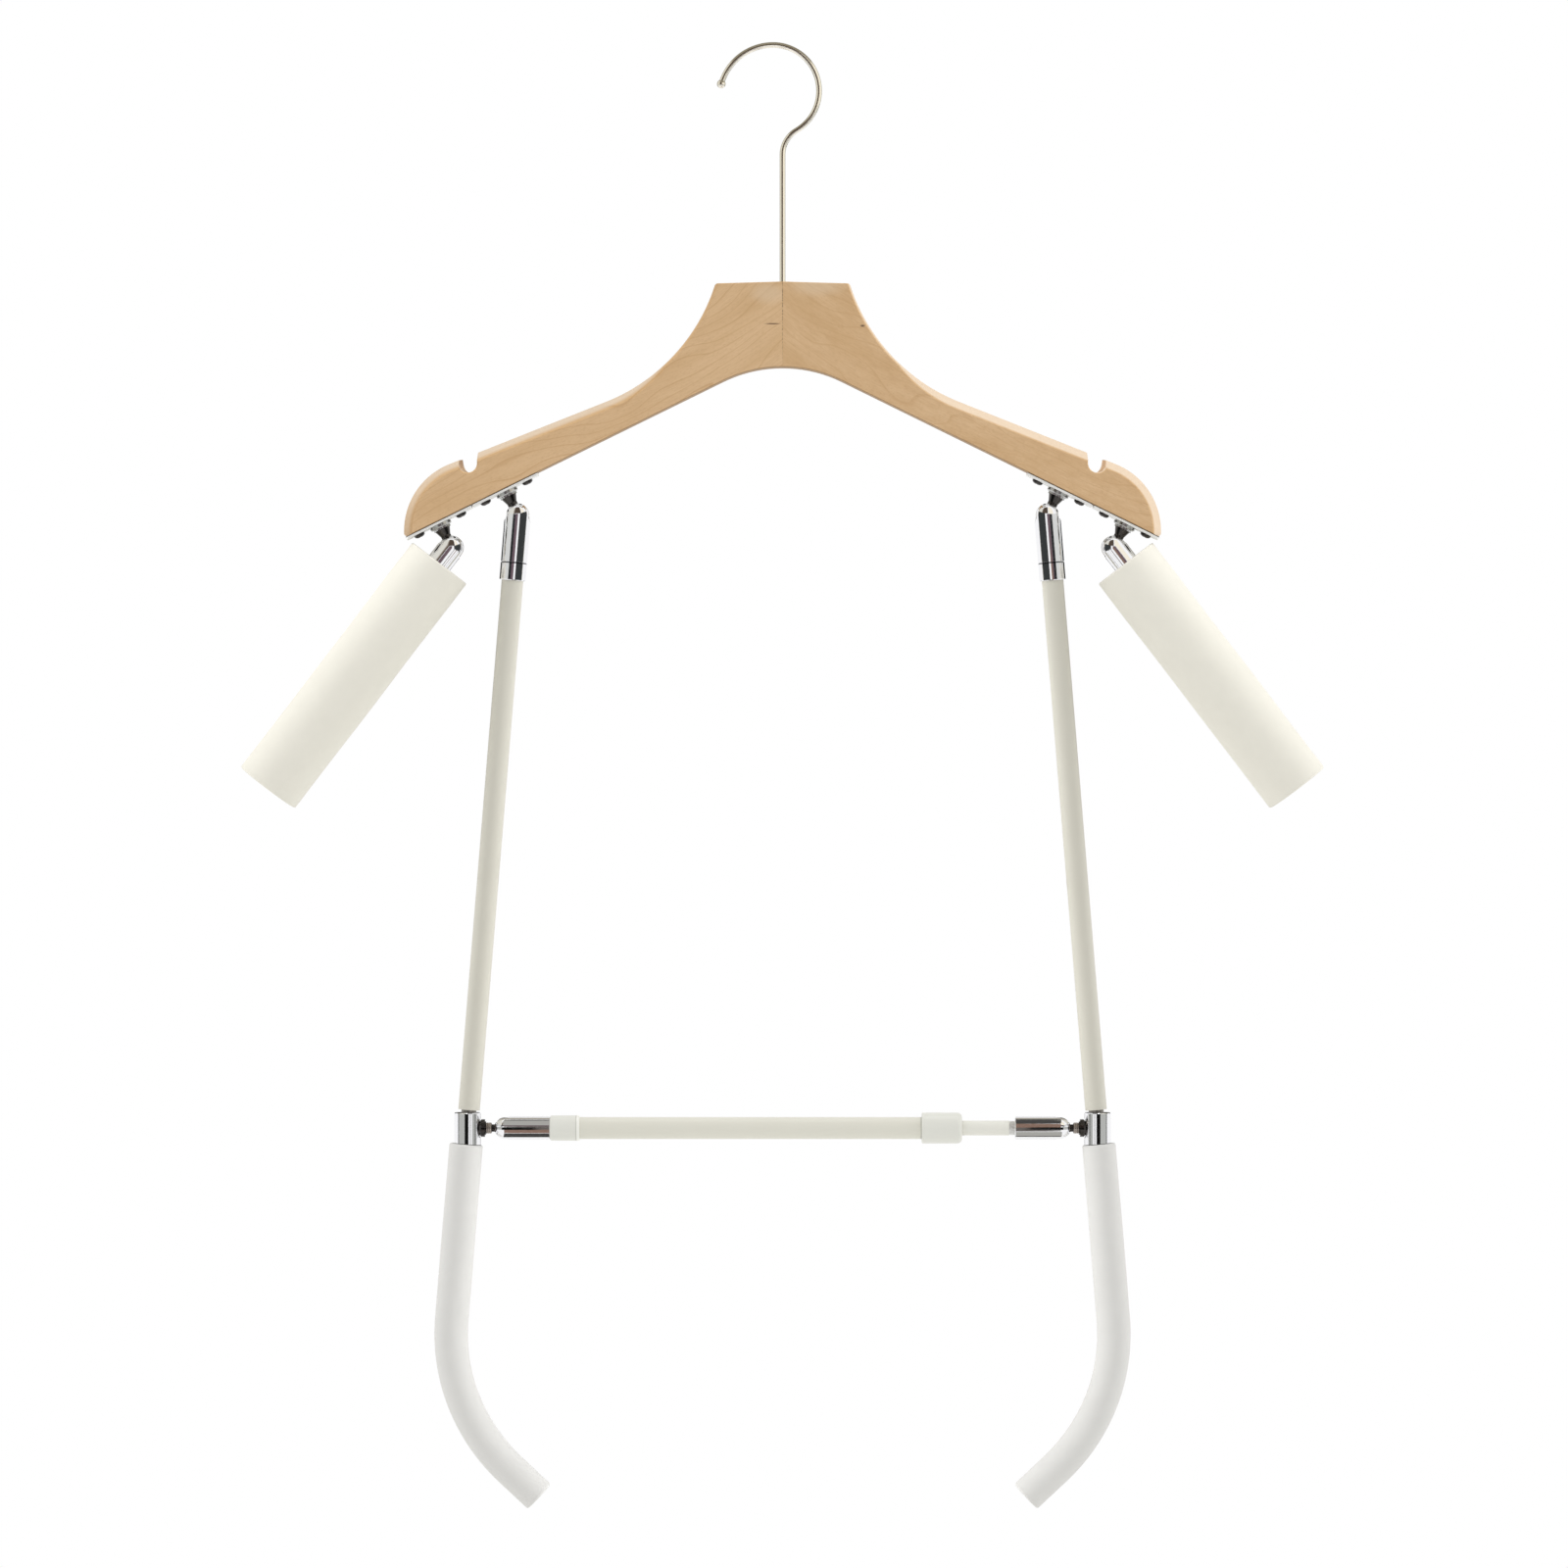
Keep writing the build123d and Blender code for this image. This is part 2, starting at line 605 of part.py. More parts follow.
def collar():
    """Upright sleeve bored wide for the leaning rod, its foot cut square to the rod for the hip to turn on.

    A flat and a tapped hole take the bar's stud.
    """
    top = COLLAR_H / 2
    body = chamfer(ring(COLLAR_R, 0, -COLLAR_H, top).edges().group_by(Axis.Z)[-1], SEAM)
    body -= Cylinder(COLLAR_BORE_R, 4 * COLLAR_H)
    body -= Rot(0, -ROD_SPLAY, 0) * Pos(0, 0, -top - COLLAR_H) * Box(4 * COLLAR_R, 4 * COLLAR_R, 2 * COLLAR_H)
    flat_h = 2 * (BAR_STUD_FLANGE_R + LOOSE)
    body -= Pos(-COLLAR_FLAT - COLLAR_R / 2, 0, 0) * Box(COLLAR_R, 2 * COLLAR_R, flat_h)
    tapped = Cylinder(BAR_STUD_SHANK_R + FIT, COLLAR_R)
    return body - Pos(-COLLAR_R, 0, 0) * Rot(0, 90, 0) * tapped


def bar_stud():
    """Ball stud of the waist bar along z from the collar's axis: pinching tip, flange, thread and ball."""
    tip = HIP_ROD_R + LOOSE
    flange_end = COLLAR_FLAT + BAR_STUD_FLANGE_H
    ring_end = flange_end + BAR_STUD_RING_H
    thread_end = ring_end + BAR_STUD_THREAD_H
    dome = BAR_STUD_FLANGE_H / 3
    body = turned(
        [
            (0, tip),
            (BAR_STUD_SHANK_R, tip),
            (BAR_STUD_SHANK_R, COLLAR_FLAT),
            (BAR_STUD_FLANGE_R - dome, COLLAR_FLAT),
            (BAR_STUD_FLANGE_R, COLLAR_FLAT + dome),
            (BAR_STUD_FLANGE_R, flange_end),
            (BAR_STUD_RING_R, flange_end),
            (BAR_STUD_RING_R, ring_end),
            (BAR_STUD_THREAD_R, ring_end),
            (BAR_STUD_THREAD_R, thread_end),
            (BAR_STUD_NECK_R, thread_end + SEAM),
            (BAR_STUD_NECK_R, BAR_STUD_REACH),
            (0, BAR_STUD_REACH),
        ]
    )
    return body + Pos(0, 0, BAR_STUD_REACH) * Sphere(BAR_BALL_R)


def hip_path(start, end_l):
    """Straight run down the rod's axis, a bend inwards, and a straight end, in the rod's frame."""
    bend_z = ROD_LENGTH + HIP_STRAIGHT
    turn = radians(HIP_TURN)
    bend_end = Vector(-HIP_BEND_R * (1 - cos(turn)), bend_z + HIP_BEND_R * sin(turn))
    end = bend_end + Vector(-sin(turn), cos(turn)) * end_l
    return Plane.XZ * (
        Line((0, start), (0, bend_z))
        + bow((-HIP_BEND_R, bend_z), (0, bend_z), bend_end)
        + Line(bend_end, end)
    )


def along_hip(radius, start, end_l):
    return sweep(Pos(0, 0, start) * Circle(radius), hip_path(start, end_l))


def hip_rod():
    return along_hip(HIP_ROD_R, TUBE_END - HIP_IN_TUBE, HIP_END - FOAM_END)


def hip_foam():
    """Foam sleeve over the bent rod, closed at its end; its top runs against the collar's foot."""
    start = ROD_LENGTH + COLLAR_H / 2 + LOOSE
    sleeve = along_hip(HIP_FOAM_R, start, HIP_END)
    return sleeve - along_hip(HIP_ROD_R + FIT, start - OVERCUT, HIP_END - FOAM_END + FIT)


def bar_left_joiner():
    """Plug between the left socket and the outer tube, cupped to bear on the ball."""
    plug_r = BAR_SEAT_R - FIT
    shank_r = OUTER_TUBE_BORE_R - FIT
    end = OUTER_TUBE_START + JOINER_IN_TUBE
    return cupped(
        BAR_SEAT_R,
        [
            (plug_r, BAR_SEAT_R * CUP_RIM),
            (plug_r, BAR_SOCKET_END),
            (shank_r, BAR_SOCKET_END),
            (shank_r, end),
            (0, end),
        ],
    )


def bar_end_cap():
    """Moulded cap over the socket's end and the tube's start, with a bead round its open rim."""
    end = TUBE_SHOWS_AT
    bead_r = END_CAP_R + END_CAP_BEAD
    face_r = END_CAP_R - END_CAP_ROUND
    side_at = CAP_AT + END_CAP_ROUND
    bead_at = end - END_CAP_BEAD_L
    return spun(
        [
            Line((OUTER_TUBE_BORE_R, CAP_AT), (face_r, CAP_AT)),
            bow((face_r, side_at), (face_r, CAP_AT), (END_CAP_R, side_at)),
            Line((END_CAP_R, side_at), (END_CAP_R, bead_at - SEAM)),
            Line((END_CAP_R, bead_at - SEAM), (bead_r, bead_at)),
            Line((bead_r, bead_at), (bead_r, end - SEAM)),
            Line((bead_r, end - SEAM), (bead_r - SEAM, end)),
            Line((bead_r - SEAM, end), (OUTER_TUBE_R + FIT, end)),
            Line((OUTER_TUBE_R + FIT, end), (OUTER_TUBE_R + FIT, OUTER_TUBE_START)),
            Line((OUTER_TUBE_R + FIT, OUTER_TUBE_START), (OUTER_TUBE_BORE_R, OUTER_TUBE_START)),
            Line((OUTER_TUBE_BORE_R, OUTER_TUBE_START), (OUTER_TUBE_BORE_R, CAP_AT)),
        ]
    )


def bar_outer_tube():
    return ring(OUTER_TUBE_R, OUTER_TUBE_BORE_R, OUTER_TUBE_START, OUTER_TUBE_END)


COLLET_FLANGE_END = OUTER_TUBE_END + COLLET_FLANGE_H
COLLET_END = COLLET_FLANGE_END + COLLET_FINGER_L
FINGER_R = COLLET_BORE_R + COLLET_FINGER_T
FINGER_TIP_R = COLLET_BORE_R + COLLET_TIP_T


def bar_collet():
    """Split collet seated in the outer tube's mouth, its tapered fingers standing into the knob."""
    body = turned(
        [
            (COLLET_BORE_R, OUTER_TUBE_END - COLLET_L),
            (OUTER_TUBE_BORE_R - FIT, OUTER_TUBE_END - COLLET_L),
            (OUTER_TUBE_BORE_R - FIT, OUTER_TUBE_END),
            (OUTER_TUBE_R, OUTER_TUBE_END),
            (OUTER_TUBE_R, COLLET_FLANGE_END),
            (FINGER_R, COLLET_FLANGE_END),
            (FINGER_TIP_R, COLLET_END),
            (COLLET_BORE_R, COLLET_END),
        ]
    )
    slit_l = COLLET_FINGER_L - COLLET_SLIT_ROOT
    slit = Pos(0, 0, COLLET_END - slit_l / 2) * Box(2 * FINGER_R + OVERCUT, COLLET_SLIT_W, slit_l)
    for cut in range(COLLET_CUTS):
        body -= Rot(0, 0, 180 * cut / COLLET_CUTS) * slit
    return body


def lock_knob():
    """Twist knob: a sleeve that runs on the outer tube and tapers inside onto the collet's fingers."""
    cone_r = FINGER_R + LOOSE
    cone_end_r = FINGER_TIP_R + LOOSE
    seat_z = COLLET_FLANGE_END + LOOSE
    cone_end = COLLET_END + LOOSE
    hole_r = INNER_TUBE_R + LOOSE
    run_r = OUTER_TUBE_R + RUN
    rim_r = KNOB_R - KNOB_EDGE
    rim_z = KNOB_AT + KNOB_EDGE
    crown_r = KNOB_R - KNOB_ROUND
    crown_z = KNOB_END - KNOB_ROUND
    return spun(
        [
            Line((run_r, KNOB_AT), (rim_r, KNOB_AT)),
            bow((rim_r, rim_z), (rim_r, KNOB_AT), (KNOB_R, rim_z)),
            Line((KNOB_R, rim_z), (KNOB_R, crown_z)),
            bow((crown_r, crown_z), (KNOB_R, crown_z), (crown_r, KNOB_END)),
            Line((crown_r, KNOB_END), (hole_r, KNOB_END)),
            Line((hole_r, KNOB_END), (hole_r, cone_end)),
            Line((hole_r, cone_end), (cone_end_r, cone_end)),
            Line((cone_end_r, cone_end), (cone_r, seat_z)),
            Line((cone_r, seat_z), (run_r, seat_z)),
            Line((run_r, seat_z), (run_r, KNOB_AT)),
        ]
    )


def bar_inner_tube():
    return ring(INNER_TUBE_R, INNER_TUBE_BORE_R, INNER_TUBE_START, INNER_TUBE_END)


def bar_guide():
    """Slider that keeps the hidden end of the inner tube central in the outer one."""
    head_r = OUTER_TUBE_BORE_R - RUN
    tail_r = INNER_TUBE_BORE_R - FIT
    start = INNER_TUBE_START - GUIDE_L
    return turned(
        [
            (0, start),
            (head_r - GUIDE_EDGE, start),
            (head_r, start + GUIDE_EDGE),
            (head_r, INNER_TUBE_START),
            (tail_r, INNER_TUBE_START),
            (tail_r, INNER_TUBE_START + GUIDE_TAIL),
            (0, INNER_TUBE_START + GUIDE_TAIL),
        ]
    )


def bar_right_joiner():
    """Plug between the right socket and the inner tube, in that socket's frame; its middle shows."""
    plug_r = BAR_OPEN_SEAT_R - FIT
    tail_r = INNER_TUBE_BORE_R - FIT
    shown_r = INNER_TUBE_R - RIGHT_JOINER_STEP
    ring_end = BAR_SOCKET_END + RIGHT_JOINER_SHOWN
    return cupped(
        BAR_OPEN_SEAT_R,
        [
            (plug_r, BAR_OPEN_SEAT_R * CUP_RIM),
            (plug_r, BAR_SOCKET_END),
            (shown_r, BAR_SOCKET_END),
            (shown_r, ring_end),
            (tail_r, ring_end),
            (tail_r, ring_end + JOINER_IN_TUBE),
            (0, ring_end + JOINER_IN_TUBE),
        ],
    )


def right_side_pieces():
    """Pieces that each side has, by the second half of their names, on the right."""
    arm_socket = socket(SOCKET_R, SEAT_R, 2 * (STUD_NECK_R + ARM_NECK_PLAY), SOCKET_L)
    rod_socket = socket(SOCKET_R, SEAT_R, 2 * (STUD_NECK_R + ROD_NECK_PLAY), SOCKET_L)
    return {
        "shoulder": shoulder(),
        "outer_plate": ARM_STUD * plate(),
        "inner_plate": ROD_STUD * plate(),
        "arm_stud": ARM_STUD * ball_stud(),
        "rod_stud": ROD_STUD * ball_stud(),
        "arm_liner": ARM_STUD * liner(STUD_NECK_R + ARM_NECK_PLAY),
        "rod_liner": ROD_STUD * liner(STUD_NECK_R + ROD_LINER_PLAY),
        "arm_socket": ARM_FRAME * arm_socket,
        "arm_pad": ARM_FRAME * pad(),
        "arm_core": ARM_FRAME * arm_core(),
        "arm_foam": ARM_FRAME * arm_foam(),
        "rod_socket": ROD_FRAME * rod_socket,
        "rod_pad": ROD_FRAME * pad(),
        "rod_ferrule": ROD_FRAME * rod_ferrule(),
        "rod_tube": ROD_FRAME * rod_tube(),
        "collar": COLLAR_FRAME * collar(),
        "bar_stud": BAR_STUD_FRAME * bar_stud(),
        "hip_rod": ROD_FRAME * hip_rod(),
        "hip_foam": ROD_FRAME * hip_foam(),
    }


def single_pieces():
    """Pieces that the hanger has once."""
    slot_w = 2 * (BAR_STUD_NECK_R + BAR_NECK_PLAY)
    left_socket = socket(BAR_SOCKET_R, BAR_SEAT_R, slot_w, BAR_SOCKET_L)
    right_socket = socket(BAR_SOCKET_R, BAR_OPEN_SEAT_R, slot_w, BAR_SOCKET_L)
    right_screws = [stud_frame(along) * screw() for along in screw_places()]
    left_screws = [mirror(piece, about=Plane.YZ) for piece in right_screws]
    return {
        "hook": hook(),
        "hook_nut": hook_nut(),
        "hook_bush": hook_bush(),
        "mitre_dowel": mitre_dowel(),
        "plate_screws": Compound(right_screws + left_screws),
        "bar_left_socket": BAR_LEFT_FRAME * left_socket,
        "bar_left_joiner": BAR_LEFT_FRAME * bar_left_joiner(),
        "bar_end_cap": BAR_LEFT_FRAME * bar_end_cap(),
        "bar_outer_tube": BAR_LEFT_FRAME * bar_outer_tube(),
        "bar_collet": BAR_LEFT_FRAME * bar_collet(),
        "lock_knob": BAR_LEFT_FRAME * lock_knob(),
        "bar_inner_tube": BAR_LEFT_FRAME * bar_inner_tube(),
        "bar_guide": BAR_LEFT_FRAME * bar_guide(),
        "bar_right_joiner": BAR_RIGHT_FRAME * bar_right_joiner(),
        "bar_right_socket": BAR_RIGHT_FRAME * right_socket,
    }


os.makedirs("parts", exist_ok=True)
for name, piece in single_pieces().items():
    export_step(piece, f"parts/{name}.step")
for name, piece in right_side_pieces().items():
    export_step(piece, f"parts/right_{name}.step")
    export_step(mirror(piece, about=Plane.YZ), f"parts/left_{name}.step")
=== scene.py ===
"""Looks of an articulated torso hanger: wood, chrome, coated tubes, foam, screws and a white studio.

Lengths are metres, as in the frame. The properties are written in millimetres and kept in metres.
"""

import json
from math import pi, radians, tan

import bpy
import numpy as np
from bpy.props import FloatProperty, FloatVectorProperty, IntProperty, PointerProperty
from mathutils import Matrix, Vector


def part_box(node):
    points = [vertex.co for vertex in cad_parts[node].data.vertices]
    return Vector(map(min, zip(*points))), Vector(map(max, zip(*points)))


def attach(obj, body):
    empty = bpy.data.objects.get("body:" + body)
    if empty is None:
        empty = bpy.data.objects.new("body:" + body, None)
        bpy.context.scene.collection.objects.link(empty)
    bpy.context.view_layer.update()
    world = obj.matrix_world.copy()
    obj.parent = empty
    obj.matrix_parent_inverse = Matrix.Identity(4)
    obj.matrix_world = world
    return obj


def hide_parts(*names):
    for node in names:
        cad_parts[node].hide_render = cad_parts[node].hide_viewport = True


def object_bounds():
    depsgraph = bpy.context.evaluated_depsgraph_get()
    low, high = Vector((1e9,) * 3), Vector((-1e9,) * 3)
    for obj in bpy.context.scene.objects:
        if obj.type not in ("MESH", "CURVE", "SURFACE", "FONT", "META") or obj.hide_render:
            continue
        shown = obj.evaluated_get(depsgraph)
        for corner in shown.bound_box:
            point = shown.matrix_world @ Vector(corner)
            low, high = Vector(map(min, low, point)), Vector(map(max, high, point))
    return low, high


bl_info = {
    "name": "Torso Hanger Looks",
    "version": (1, 0, 0),
    "blender": (4, 5, 0),
    "location": "View3D > Sidebar > Hanger",
    "description": "Finishes, foam pieces, screws and a white studio for an articulated torso hanger",
    "category": "Object",
}

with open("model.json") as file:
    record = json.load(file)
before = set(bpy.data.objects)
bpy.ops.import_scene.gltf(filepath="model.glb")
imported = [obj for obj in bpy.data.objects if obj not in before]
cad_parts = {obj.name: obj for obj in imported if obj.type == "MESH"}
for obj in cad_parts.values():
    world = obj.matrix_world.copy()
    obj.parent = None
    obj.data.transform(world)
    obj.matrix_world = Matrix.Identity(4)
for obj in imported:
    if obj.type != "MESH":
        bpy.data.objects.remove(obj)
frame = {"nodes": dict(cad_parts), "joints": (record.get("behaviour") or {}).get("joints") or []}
CAD_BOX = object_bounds()

MM = 0.001
SMOOTH = {"interpolation_type": "SMOOTHSTEP"}
SIDES = {"left": -1, "right": 1}
PLATES = ("outer_plate", "inner_plate")
STUD_JOINTS = {"arm_stud": "arm_tilt", "rod_stud": "rod_splay"}
JOINTS = {joint["name"]: joint for joint in frame["joints"]}

# The halves come from two boards. Each has the start of its grain, the strength of its lines and its mottle,
# the tone of the sheen painted on its edges, how deep in bevels and how far up in normals that painted sheen
# starts and is full, and the middle and reach, in millimetres, of the dark mark and the chalky smear that it
# has near the neck.
BOARDS = {
    "left": {
        "start": 0.0, "lines": 0.62, "mottle": 0.08,
        "edge": "#E2D4C2", "painted_sheen_in": (0.1, 0.6), "painted_sheen_up": (-0.3, 0.6),
        "mark": ((-5.2, -7.0, -146.4), (5.6, 3.0, 0.6)),
        "smear": ((-7.5, -7.0, -130.0), (13.0, 3.0, 8.0)),
    },
    "right": {
        "start": 0.43, "lines": 0.42, "mottle": 0.34,
        "edge": "#F6E4CE", "painted_sheen_in": (0.02, 0.3), "painted_sheen_up": (-0.5, -0.1),
        "mark": ((42.4, -7.0, -147.5), (1.8, 3.0, 0.9)),
        "smear": ((19.0, -7.0, -126.5), (20.0, 3.0, 7.0)),
    },
}
# Size of the wood's fibres, in millimetres along, through and across the grain. Beech's own are too fine for
# a picture of the whole hanger, so these are about three times as wide.
FIBRE_MM = (9, 1.2, 0.6)
# Chrome plate: patches of a few millimetres, between the least and the greatest roughness.
CHROME = {"cell_mm": (2.5, 2.5, 2.5), "haze": (0.06, 0.12), "detail": 2.0}

# Lamps on the right, each with its mirror image on the left: the place, the aim, or none for the middle of
# the hanger, the size, the property with the power, and the only parts that the lamp lights, or none for all.
SIDE_LAMPS = {
    "soft_box": ((1.5, 0, -0.2), None, (1.0, 1.6), "side_power", ()),
    "key_box": ((1.2, -0.8, 0.8), None, (0.8, 0.8), "key_power", ()),
    "middle_strip": (
        (0.005, -0.06, -0.55), (1, -0.06, -0.55), (0.1, 0.6), "middle_power", ("rod_tube", "hip_sleeve")),
    "arm_box": ((0.24, -0.15, -0.13), (0.2, 0, -0.29), (0.1, 0.1), "arm_power", ("arm_roll",)),
}

# Cloths that only mirrors see, for the bands in the chrome: a colour, one corner and two edges. These stand
# on the right, and each has its mirror image on the left.
SIDE_FLAGS = {
    "socket_black": ("#2A2B2D", (0.323, -0.6, -0.36), (0.32, 0, 0), (0, 0, 0.2)),
    "socket_mauve": ("#6E5C63", (0.0875, -0.6, -0.36), (0.2355, 0, 0), (0, 0, 0.2)),
    "socket_grey": ("#DADBD8", (0.66, -0.6, -0.36), (0.24, 1.1, 0), (0, 0, 0.2)),
    "socket_back": ("#0B0B0C", (0.3, 0.6, -0.36), (0.76, 0, 0), (0, 0, 0.2)),
    "collar_black": ("#141413", (0.1366, -0.15, -0.615), (0.0872, 0, 0), (0, 0, 0.07)),
    "collar_grey": ("#B9BAB6", (0.397, -0.6, -0.72), (0.603, 0.4, 0), (0, 0, 0.3)),
    "collar_line": ("#0B0B0C", (1.01, -0.2, -0.72), (0, 0.12, 0), (0, 0, 0.3)),
    "waist_back": ("#1B1917", (0.115, 0.6, -0.72), (0.11, 0, 0), (0, 0, 0.3)),
}
# These make the bands along the waist bar's sockets. The right socket has the left one's bands upside down,
# so there they are turned over about the line of sight to the bar.
BAR_FLAGS = {
    "bar_top": ("#4A4845", (0.115, -0.022, -0.44), (0.05, 0, 0), (0, 0.037, 0)),
    "bar_silver": ("#ADACA6", (0.115, -0.065, -0.535), (0.05, 0, 0), (0, 0.053, 0.075)),
    "bar_dark": ("#655F5A", (0.115, -0.6, -0.719), (0.065, 0, 0), (0, 0, 0.45)),
    "bar_brown": ("#8A7062", (0.115, -0.3, -0.921), (0.065, 0, 0), (0, 0, 0.275)),
    "bar_low": ("#474644", (0.115, -0.1, -0.7), (0.05, 0, 0), (0, 0.13, 0)),
}
# These stand once: two in the middle plane, and the rest round the hook.
MIDDLE_FLAGS = {
    "middle_fin": ("#393C3C", (0, -0.35, -0.36), (0, 0.34, 0), (0, 0, 0.17)),
    "middle_white": ("#FFFFFF", (0, 0, -0.36), (0, 0.5, 0), (0, 0, 0.2)),
    "hook_left": ("#E2E0D6", (-0.9, -0.6, -0.14), (0.32, 0, 0), (0, 0, 1.4)),
    "hook_left_side": ("#E2E0D6", (-0.9, -0.6, -0.14), (0, 1, 0), (0, 0, 1.4)),
    "hook_edge": ("#978B80", (-0.58, -0.6, -0.14), (0.12, 0, 0), (0, 0, 1.4)),
    "hook_core": ("#54483E", (-0.46, -0.6, -0.14), (0.64, 0, 0), (0, 0, 1.4)),
    "hook_right": ("#FFF7E4", (0.24, -0.6, -0.14), (0.66, 0, 0), (0, 0, 1.4)),
    "hook_right_side": ("#F6F2E2", (0.9, -0.1, -0.14), (0, 0.5, 0), (0, 0, 1.4)),
    "hook_over": ("#8F897B", (-0.08, -0.08, 0.05), (0.16, 0, 0), (0, 0.16, 0)),
    "hook_back": ("#A9A498", (-0.9, 0.4, -0.14), (1.8, 0, 0), (0, 0, 1.4)),
}


def linear(code):
    """Linear RGBA of an sRGB hex code, by the sRGB curve."""
    channels = [int(code[i:i + 2], 16) / 255 for i in (1, 3, 5)]
    return tuple(c / 12.92 if c <= 0.04045 else ((c + 0.055) / 1.055) ** 2.4 for c in channels) + (1.0,)


def colour(name, description, code):
    """A colour property whose default is an sRGB hex code."""
    return FloatVectorProperty(
        name=name, description=description, subtype="COLOR", size=4, min=0, max=1, default=linear(code))


def length(name, description, millimetres):
    """A length property whose default is given in millimetres."""
    return FloatProperty(
        name=name, description=description, subtype="DISTANCE", unit="LENGTH", default=millimetres * MM)


def angle(name, description, degrees):
    """An angle property whose default is given in degrees."""
    return FloatProperty(name=name, description=description, subtype="ANGLE", default=radians(degrees))


def power(name, description, watts):
    """A property for the power of a lamp."""
    return FloatProperty(name=name, description=description, unit="POWER", default=watts, min=0)


def count(name, description, number):
    """A property for a number of rings or of points round a piece."""
    return IntProperty(name=name, description=description, default=number, min=12)


class HANGER_PG_stage(bpy.types.PropertyGroup):
    """Camera, floor and light."""

    distance: length("Distance", "From the camera to the plane of the wood's middle", 3200)
    height: length("Height", "Height of the camera over the rail that the hook hangs on", -390.1)
    across: length("Across", "Place of the camera along the wood", 0.78)
    view_width: length("View width", "Width that the picture shows in the plane of the wood's middle", 832)
    floor_drop: length("Floor drop", "From the lowest piece to the floor", 260)
    floor_radius: length("Floor radius", "Radius of the floor", 4000)
    floor_sides: count("Floor sides", "Points round the floor", 96)
    shadow_from: length("Shadow from", "From the floor's middle to where its shadow starts to fade", 250)
    shadow_to: length("Shadow to", "From the floor's middle to where its shadow has gone", 580)
    ambient: FloatProperty(name="Ambient", description="Brightness of the light tent", default=0.75, min=0)
    top_power: power("Top light", "Power of the strip box overhead", 5)
    key_power: power("Key lights", "Power of each box over the front corners", 3)
    side_power: power("Side lights", "Power of each soft box at the sides", 6.7)
    middle_power: power("Middle lights", "Power of each strip between the side rods", 0.2)
    arm_power: power("Arm lights", "Power of each small box for the tops of the arms", 0.045)


class HANGER_PG_wood(bpy.types.PropertyGroup):
    """The two halves of the shoulder bar."""

    light: colour("Early wood", "The lightest tone of the beech", "#DDBA8F")
    middle: colour("Heartwood", "The deeper tone of the beech's darker zones", "#D3AE80")
    dark: colour("Late wood", "The tone at the edge of a growth line", "#C39A69")
    fleck: colour("Fleck", "The short dark flecks along the grain", "#B58E60")
    stain: colour("Stain", "The glue line and the mineral marks", "#5E432B")
    chalk: colour("Chalk", "The smear that sanded glue left at the top of the neck", "#E3CDB0")
    # Painted shade: this tone stands in for the shade on the bevels that don't face up, as on a rounded edge.
    shade: colour("Edge shade", "The tone of the edges that the sanding left as they were cut", "#8E7152")
    painted_edge_share: FloatProperty(
        name="Edge share", description="How much of an edge's tone shows off the broad faces", default=0.75)
    bevel: length("Bevel", "Depth of the bevels from the broad faces", 3.1)
    slope: angle("Grain slope", "Fall of the grain along a shoulder", 23)
    bow: FloatProperty(
        name="Bow", description="Extra fall of the grain at the seam, as a slope", default=0.35)
    bow_reach: length("Bow reach", "How far from the seam the extra fall ends", 60)
    line_gap: length("Line gap", "Mean gap between growth lines", 6.5)
    wander: FloatProperty(name="Wander", description="How many gaps a growth line may wander", default=6)
    glue_core: length("Glue core", "From the seam to where the glue line starts to fade", 0.05)
    glue_reach: length("Glue reach", "From the seam to where the glue line ends", 0.36)
    glue_low: length("Glue low", "Height at which the glue line is faintest", -168)
    glue_high: length("Glue high", "Height at which the glue line is darkest", -142)


class HANGER_PG_metal(bpy.types.PropertyGroup):
    """Plated and plain metal."""

    chrome: colour("Chrome", "Polished chrome plate", "#F4F4F6")
    nickel: colour("Nickel", "Bright nickel on the hook's wire", "#F5F0E4")
    zinc: colour("Zinc", "Bright zinc of the plates", "#F4F4F2")
    gap: colour("Gap", "The line of shade where a plate meets the wood", "#4A3A2A")
    aluminium: colour("Aluminium", "Turned aluminium of the ring beside the right socket", "#F0F0EE")
    black: colour("Blackened steel", "Oiled black steel of the stud necks and the screws", "#4A4745")
    flange: colour("Stud flange", "Bright steel of the flanges and hexagons of the ball studs", "#BDBDBB")
    bronze: colour("Bronzed steel", "Browned steel of the threads of the waist bar's studs", "#A0968E")
    seam: colour("Seam", "The line where a side rod's socket meets its ring", "#77777A")
    steel: colour("Steel", "Plain steel of the inner rods", "#8E8A85")
    brass: colour("Brass", "Turned brass of the bush", "#C9A25B")
    bright_from: length("Bright from", "From a ball's middle to where its stud's bright flange starts", 10.9)
    seam_width: length("Seam width", "Width of the line under a side rod's socket", 0.55)
    gap_width: length("Gap width", "Width of the line of shade on a plate", 0.35)


class HANGER_PG_coats(bpy.types.PropertyGroup):
    """Painted tubes and moulded plastic."""

    cream: colour("Cream coat", "Powder coat of the side tubes", "#CAC7BB")
    bar: colour("Bar coat", "Paint of the waist bar's outer tube", "#E0DED2")
    inner_bar: colour("Inner bar coat", "Paint of the waist bar's inner tube", "#EAE9E0")
    plastic: colour("Plastic", "Moulded cap and knob of the waist bar", "#E3E3DB")
    # Painted highlight: this tone lightens the cap's bead where light catches its round.
    bright: colour("Bead", "The bead at the cap's end, where the mould left a gloss", "#F3F3EC")
    # Painted shade: this tone darkens a line beside the cap's bead and where the tube enters the knob.
    painted_shade_line: colour("Groove", "The shade beside the cap's bead and where the tube enters the knob", "#C6C6BD")
    nylon: colour("Nylon", "Natural nylon of the inner pieces", "#E4DFCF")
    bead: length("Bead width", "Width of the bead at the cap's end", 1.5)
    groove_width: length("Groove width", "Width of the shade beside the cap's bead", 0.5)
    knob_gap: length("Knob gap", "Width of the shade where the tube enters the knob", 0.7)


